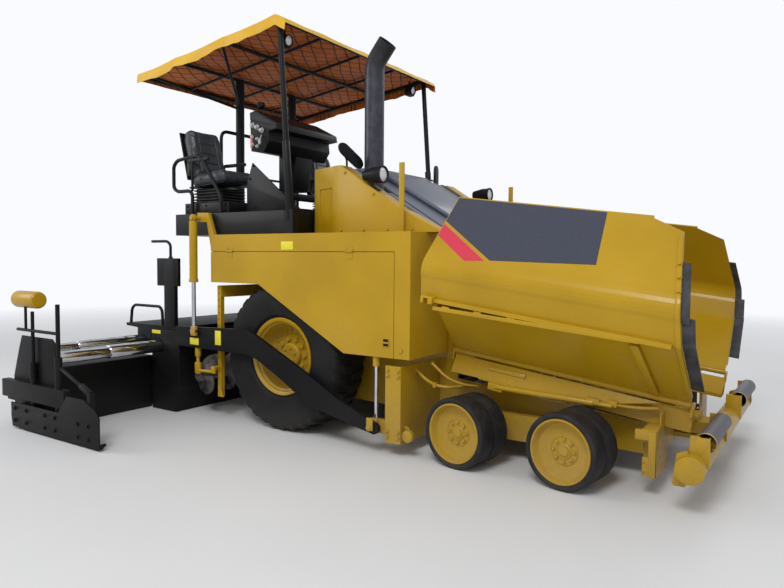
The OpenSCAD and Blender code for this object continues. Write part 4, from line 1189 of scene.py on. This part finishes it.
# Conveyors
# Two chains of steel slats that run on worn plates along the hopper's floor to the augers, with a guard of
# bent plate between them.
worn_steel, worn_place = start_finish("worn_steel", "worn_steel")
streaks = worn_place.node("ShaderNodeTexNoise", {}, {"Vector": worn_place, "Scale": 34.0, "Detail": 6.0})
tar = between(cloud(worn_place, 6.0, 6.0, 0.6), 0.46, 0.62)
dress(worn_steel, over(tar, over(streaks, (0.30, 0.29, 0.28), (0.18, 0.15, 0.125)), (0.022, 0.020, 0.019)),
      tar * 0.25 + 0.38, metallic=1 - tar, height=tar + streaks * 0.4, relief=0.0010, edge=0.003)
wear(worn_steel, "conveyors", "auger_right", "auger_left")


def chain_top(x):
    return 510 - 70 * (x + 817) / 3817


slats = []
for sign in (-1, 1):
    for y in (62, 560):
        slats.append(side_plate([(-790, chain_top(-790)), (2970, chain_top(2970)), (2970, chain_top(2970) + 20),
                                 (-790, chain_top(-790) + 20)], y, y + 24, sign, 0.002))
    slats += [block((x, 52, chain_top(x) + 1), (x + 26, 584, chain_top(x) + 32), sign, 0.002)
              for x in range(-760, 2940, 152)]
slats.append(side_plate([(-817, 508), (2990, 438), (2990, 486), (-817, 556)], -41, 41, 1, 0.004))
settled(joined(slats), "conveyor_slats", "machine", worn_steel)

# Augers
# Pipes with helical flights of hard steel that spread the mix to both sides, carried between the gearbox and
# hangers on two posts with square holes.
AUGER_X, AUGER_Z, AUGER_PITCH, AUGER_RADIUS = -1025, 400, 280, 190
for side, sign in SIDES.items():
    turns = (1225 - 60 - 40) / AUGER_PITCH
    steps = int(turns * 28)
    rings = []
    for i in range(steps + 1):
        turn = i / steps * turns * math.tau
        along = 80 + i / steps * turns * AUGER_PITCH
        c, s = math.cos(turn), math.sin(turn)
        rings.append([at(AUGER_X + radius * c, sign * (along + off), AUGER_Z + radius * s)
                      for radius, off in ((48, -7), (AUGER_RADIUS, -6), (AUGER_RADIUS, 6), (48, 7))])
    flight = skinned("flight", rings)
    only(flight)
    bpy.ops.object.mode_set(mode="EDIT")
    bpy.ops.mesh.select_all(action="SELECT")
    bpy.ops.mesh.edge_face_add()
    bpy.ops.mesh.normals_make_consistent(inside=False)
    bpy.ops.object.mode_set(mode="OBJECT")
    pipe = rod(at(AUGER_X, sign * 60, AUGER_Z), at(AUGER_X, sign * 1225, AUGER_Z), 50)
    shaft = rod(at(AUGER_X, sign * 2, AUGER_Z), at(AUGER_X, sign * 1235, AUGER_Z), 30)
    auger = settled(joined([flight, pipe, shaft]), f"auger_flight_{side}", f"auger_{side}", worn_steel, smooth=40)
    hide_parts(f"auger_{side}")
    hanger = [rod(at(-1000, sign * 1246, 430), at(-1000, sign * 1246, 610), 16),
              rod(at(-1000, sign * 1246, 600), at(-1000, sign * 1246, 690), 28),
              block((-1040, 1230, 430), (-965, 1260, 545), sign, 0.012),
              rod(at(-1010, sign * 1246, 462), at(-770, sign * 1246, 470), 15),
              rod(at(-790, sign * 1168, 500), at(-790, sign * 1256, 500), 22),
              block((-812, 1230, 452), (-756, 1260, 520), sign, 0.008)]
    settled(joined(hanger), f"auger_hanger_{side}", "machine", ochre_enamel)
    post = side_plate([(-806, 1288), (-756, 1288), (-760, 300), (-728, 219), (-806, 219)], 1165.5, 1171, sign, 0)
    holes = [block((-794, 1150, z), (-772, 1190, z + 24), sign, 0) for z in range(330, 1240, 62)]
    post = cut(post, joined(holes))
    settled(post, f"auger_post_{side}", "machine", ochre_enamel)

# Push beam and rollers
# A thick tube with welded ends and arms, pinned in the middle, that pushes the truck's rear wheels with two
# free rollers. Their ends are capped in yellow.
for side, sign in SIDES.items():
    plates = [rod(at(3427, sign * 1262, 306), at(3427, sign * 1277, 306), 86),
              rod(at(3352, sign * 1180, 352), at(3352, sign * 1204, 352), 13),
              side_plate([(3313, 190), (3327, 177), (3390, 177), (3427, 306), (3397, 406), (3337, 381)], 1180,
                         1192, sign),
              side_plate([(3407, 346), (3457, 346), (3517, 446), (3517, 492), (3457, 492), (3400, 420)], 1134,
                         1166, sign, 0.005),
              side_plate([(3407, 346), (3457, 346), (3517, 446), (3517, 492), (3457, 492), (3400, 420)], 389,
                         421, sign, 0.005)]
    settled(joined(plates), f"push_arms_{side}", "push_beam", ochre_enamel)
    caps = [rod(at(3490, sign * y0, 452), at(3490, sign * y1, 452), 62, 0.004)
            for y0, y1 in ((425, 447), (1106, 1130))]
    settled(joined(caps), f"roller_caps_{side}", f"push_roller_{side}", ochre_enamel)
roller_grey = sprayed_steel("roller_grey", "grey_paint", (0.074, 0.070, 0.092), (0.14, 0.13, 0.12), 0.40, 0.8, 0.10)
wear(roller_grey, "push_roller_right", "push_roller_left")

# Front brackets
# Folded plates that carry the beam on the frame's front corners, with holes for tie bolts.
for side, sign in SIDES.items():
    bracket = [block((3127, 990, 135), (3180, 1000, 447), sign, 0.003),
               cross_plate([(1000, 135), (1000, 447), (885, 470), (885, 548), (640, 548), (640, 200),
                            (700, 135)], 3172, 3180, sign, 0.003),
               block((3040, 958, 380), (3130, 1000, 447), sign, 0.004),
               block((3079, 640, 440), (3180, 1000, 450), sign, 0.003),
               cut(block((3090, 990, 140), (3129, 1000, 270), sign, 0.002),
                   block((3100, 980, 160), (3112, 1010, 172), sign, 0),
                   block((3100, 980, 225), (3112, 1010, 237), sign, 0))]
    bracket[1] = cut(bracket[1], rod(at(3160, sign * 905, 402), at(3190, sign * 905, 402), 12, 0),
                     rod(at(3160, sign * 880, 250), at(3190, sign * 880, 250), 10, 0))
    settled(joined(bracket), f"front_bracket_{side}", "machine", ochre_enamel)

# Tow points and lift cylinders
# A chromed rod comes down through a gland from each side box to its tow block, which has a fork outside and a
# roller behind a cheek plate. The lift cylinders' rods end in yellow clevises.
bright_chrome, chrome_place = start_finish("bright_chrome", "chrome_steel")
film_of_oil = between(cloud(chrome_place, 10.0, 5.0), 0.50, 0.78)
dress(bright_chrome, over(film_of_oil, (0.66, 0.67, 0.69), (0.46, 0.46, 0.45)), film_of_oil * 0.12 + 0.14,
      metallic=1.0)
TOW_ROD_X, TOW_ROD_Y = 1075, 1190
TOW_ROD_REACH, TOW_BLOCK_TOP = 0.019, 0.277
for side, sign in SIDES.items():
    wear(bright_chrome, f"guide_tubes_{side}", f"lift_rod_{side}")
    rod_axis = at(TOW_ROD_X, sign * TOW_ROD_Y, 0)
    gland = turned("gland", [(0.0182, 0.700), (0.0300, 0.700), (0.0300, 0.800), (0.0182, 0.800), (0.0182, 0.700)])
    gland.matrix_world = Matrix.Translation(rod_axis)
    settled(gland, f"tow_cylinder_{side}", "machine", ochre_enamel)
    tow_block = nodes[f"tow_block_{side}"].data
    tow_block.materials.append(bright_chrome)
    for face in tow_block.polygons:
        off_rod = face.center - rod_axis
        face.material_index = int(off_rod.xy.length < TOW_ROD_REACH and off_rod.z > TOW_BLOCK_TOP)
    roller = rod(at(1383.5, sign * 1172, 178), at(1383.5, sign * 1216, 178), 48)
    cheek = side_plate([(1300, 172), (1400, 153), (1404, 195), (1370, 240), (1300, 262)], 1160, 1168, sign)
    settled(joined([roller, cheek]), f"tow_roller_{side}", "tow_points", ochre_enamel)
    collar = rod(at(-985, sign * 1305, 1320), at(-985, sign * 1305, 1350), 44)
    settled(collar, f"lift_collar_{side}", f"lift_barrel_{side}", ochre_enamel)
    clevis = block((-1017, 1285, 806), (-953, 1325, 900), sign, 0.010)
    settled(clevis, f"lift_clevis_{side}", f"lift_rod_{side}", ochre_enamel)
    fork = [block((1050, 1283, 196), (1112, 1296, 300), sign, 0.010),
            rod(at(1078, sign * 1281, 220), at(1078, sign * 1304, 220), 20)]
    settled(joined(fork), f"tow_fork_{side}", "tow_points", ochre_enamel)

# Hoses and their clips
# Hydraulic hoses from the frame to the bogies, painted over with the machine.
for side, sign in SIDES.items():
    hoses = [tube([(1280, sign * 1000, 724), (1400, sign * 1000, 612), (1509, sign * 1000, 564),
                   (1620, sign * 970, 552),
                   (1700, sign * 780, 552)], 13, 90),
             tube([(1420, sign * 900, 720), (1560, sign * 900, 610), (1700, sign * 850, 560),
                   (1830, sign * 720, 552)], 11, 90)]
    clips = [block((1492, 982, 546), (1524, 1018, 586), sign, 0.003)]
    settled(joined(hoses + clips), f"painted_hoses_{side}", "machine", ochre_enamel, smooth=50)

# Screed
# A heated box of steel plate with a walkway on ribs behind the augers, painted black and caked with mix low
# down. A hoop, and a control box on its post, stand at each end.
caked_black = sprayed_steel("caked_black", "black_paint", (0.0042, 0.0042, 0.0046), (0.030, 0.027, 0.024), 0.46,
                            0.9, 0.03, 0.30, 0.2)
wear(caked_black, "tow_arms", "screed_main", "extension_right", "extension_left")
SCREED_END = 1238
body_plate = side_plate([(-1350, 2), (-1723, 2), (-1723, 820), (-1291, 820), (-1291, 260), (-1330, 200)],
                        -SCREED_END, SCREED_END, 1, 0.006)
back_plate = block((-1960, -SCREED_END, 610), (-1722, SCREED_END, 820), 1, 0.006)
screed_parts = []
for part in (body_plate, back_plate):
    for x, z, radius in ((-1600, 655, 65), (-1870, 700, 55)):
        if part is body_plate and x == -1870 or part is back_plate and x == -1600:
            continue
        part = cut(part, rod(at(x, -1400, z), at(x, 1400, z), radius + 1.5, 0))
    screed_parts.append(part)
screed_parts.append(block((-2150, -SCREED_END, 848), (-1320, SCREED_END, 860), 1, 0.002))
for y in (-1236, -620, -5, 610, 1226):
    screed_parts.append(side_plate([(-1960, 819), (-1320, 819), (-1320, 849), (-2150, 849), (-2150, 830)], y,
                                   y + 10, 1, 0.002))
tubes = []
for sign in (-1, 1):
    tubes.append(tube([(-2120, sign * 1200, 859), (-2100, sign * 1200, 1010), (-2050, sign * 1200, 1050),
                       (-1640, sign * 1200, 1050), (-1600, sign * 1200, 1010), (-1590, sign * 1200, 859)], 15, 40))
    tubes.append(rod(at(-1440, sign * 1214, 859), at(-1440, sign * 1214, 1560), 21))
    tubes.append(tube([(-1440, sign * 1214, 1550), (-1440, sign * 1214, 1680), (-1490, sign * 1214, 1715),
                       (-1730, sign * 1214, 1715)], 14, 40))
    screed_parts.append(block((-1640, 1194, 1266), (-1310, 1230, 1545), sign, 0.008))
    screed_parts.append(block((-1525, 1190, 859), (-1360, 1234, 1545), sign, 0.006))
screed = settled(joined(screed_parts), "screed_box", "screed", caked_black)
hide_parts("screed_main")
settled(joined(tubes), "screed_rails", "screed", satin_black, smooth=50)

# Screed extensions
# Each slides out on two chromed tubes with black collars: a screed box with a step, an end plate and a gate
# with screw posts and springs. A yellow reel is carried on top.
GATE_Y, PLATE_Y = 2486, 2396
for side, sign in SIDES.items():
    body = f"extension_{side}"
    post_y = PLATE_Y + 45
    parts = [side_plate([(-1780, 2), (-1750, 60), (-1750, 540), (-2040, 540), (-2150, 430), (-2150, 2)], 1200,
                        PLATE_Y, sign, 0.005),
             block((-2300, 1200, 220), (-2149, PLATE_Y, 250), sign, 0.004),
             side_plate([(-1450, 200), (-1450, 800), (-1500, 840), (-2000, 840), (-2060, 700), (-2150, 455),
                         (-2150, 200)],
                        PLATE_Y, PLATE_Y + 12, sign, 0.003),
             side_plate([(-2040, 20), (-700, 20), (-700, 270), (-757, 327), (-923, 395), (-1160, 395),
                         (-1290, 240), (-2060, 240),
                         (-2060, 120)], GATE_Y - 12, GATE_Y, sign, 0.003),
             side_plate([(-1860, 2), (-760, 2), (-702, 47), (-720, 60), (-780, 18), (-1860, 18)], GATE_Y - 70,
                        GATE_Y - 12, sign, 0.003),
             block((-2240, PLATE_Y + 12, 273), (-1220, GATE_Y - 12, 430), sign, 0.005),
             block((-2040, PLATE_Y + 12, 190), (-1320, GATE_Y - 12, 210), sign, 0.003),
             rod(at(-1345, sign * post_y, 205), at(-1345, sign * post_y, 700), 31),
             rod(at(-1345, sign * post_y, 690), at(-1345, sign * post_y, 1150), 18),
             rod(at(-1748, sign * post_y, 205), at(-1748, sign * post_y, 620), 26),
             rod(at(-1748, sign * post_y, 610), at(-1748, sign * post_y, 1070), 15),
             rod(at(-2000, sign * post_y, 900), at(-1345, sign * post_y, 900), 14),
             rod(at(-1860, sign * post_y, 900), at(-1860, sign * post_y, 1110), 12),
             rod(at(-1345, sign * post_y, 620), at(-900, sign * (post_y + 4), 450), 14),
             rod(at(-1010, sign * post_y, 492), at(-868, sign * (post_y + 4), 438), 26),
             block((-880, post_y - 20, 330), (-840, GATE_Y - 12, 450), sign, 0.003)]
    extension = settled(joined(parts), f"extension_box_{side}", body, caked_black)
    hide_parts(body)
    coil = []
    for i in range(10 * 8 + 1):
        turn = i / 10 * math.tau
        coil.append((-1748 + 31 * math.cos(turn), sign * post_y + 31 * math.sin(turn), 470 + i / 10 * 19))
    settled(tube(coil, 4.5, 3, 8), f"gate_spring_{side}", body, satin_black, smooth=50)
    sleeves = [rod(at(x, sign * (PLATE_Y - 3), z), at(x, sign * PLATE_Y, z), radius, 0) for x, z, radius in
               ((-1600, 655, 76), (-1870, 700, 66))]
    settled(joined(sleeves), f"tube_collars_{side}", body, satin_black)
    chrome_tubes = []
    for x, z, radius, reach in ((-1600, 655, 64, 1813), (-1870, 700, 54, 1960)):
        chrome_tubes.append(rod(at(x, sign * 1170, z), at(x, sign * reach, z), radius))
        chrome_tubes.append(rod(at(x, sign * (reach - 5), z), at(x, sign * PLATE_Y, z), radius - 8))
    tubes_piece = settled(joined(chrome_tubes), f"chrome_tubes_{side}", body, bright_chrome)
    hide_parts(f"guide_tubes_{side}")
    reel = turned("reel",
                  [(0, -0.178), (0.060, -0.178), (0.072, -0.168), (0.076, -0.153), (0.076, 0.153), (0.072, 0.168),
                   (0.060, 0.178), (0, 0.178)], 40)
    reel.matrix_world = facing((1, 0, 0), at(-1883, sign * (PLATE_Y + 4), 1168))
    settled(reel, f"yellow_reel_{side}", body, ochre_enamel)
    bolts(f"gate_bolts_{side}", body, caked_black,
          [at(x, sign * GATE_Y, z) for x in (-1990, -1800, -1500, -1340, -1000, -850) for z in (80, 190)],
          (0, sign, 0), 0.020)

bpy.data.objects.remove(bolt_form)
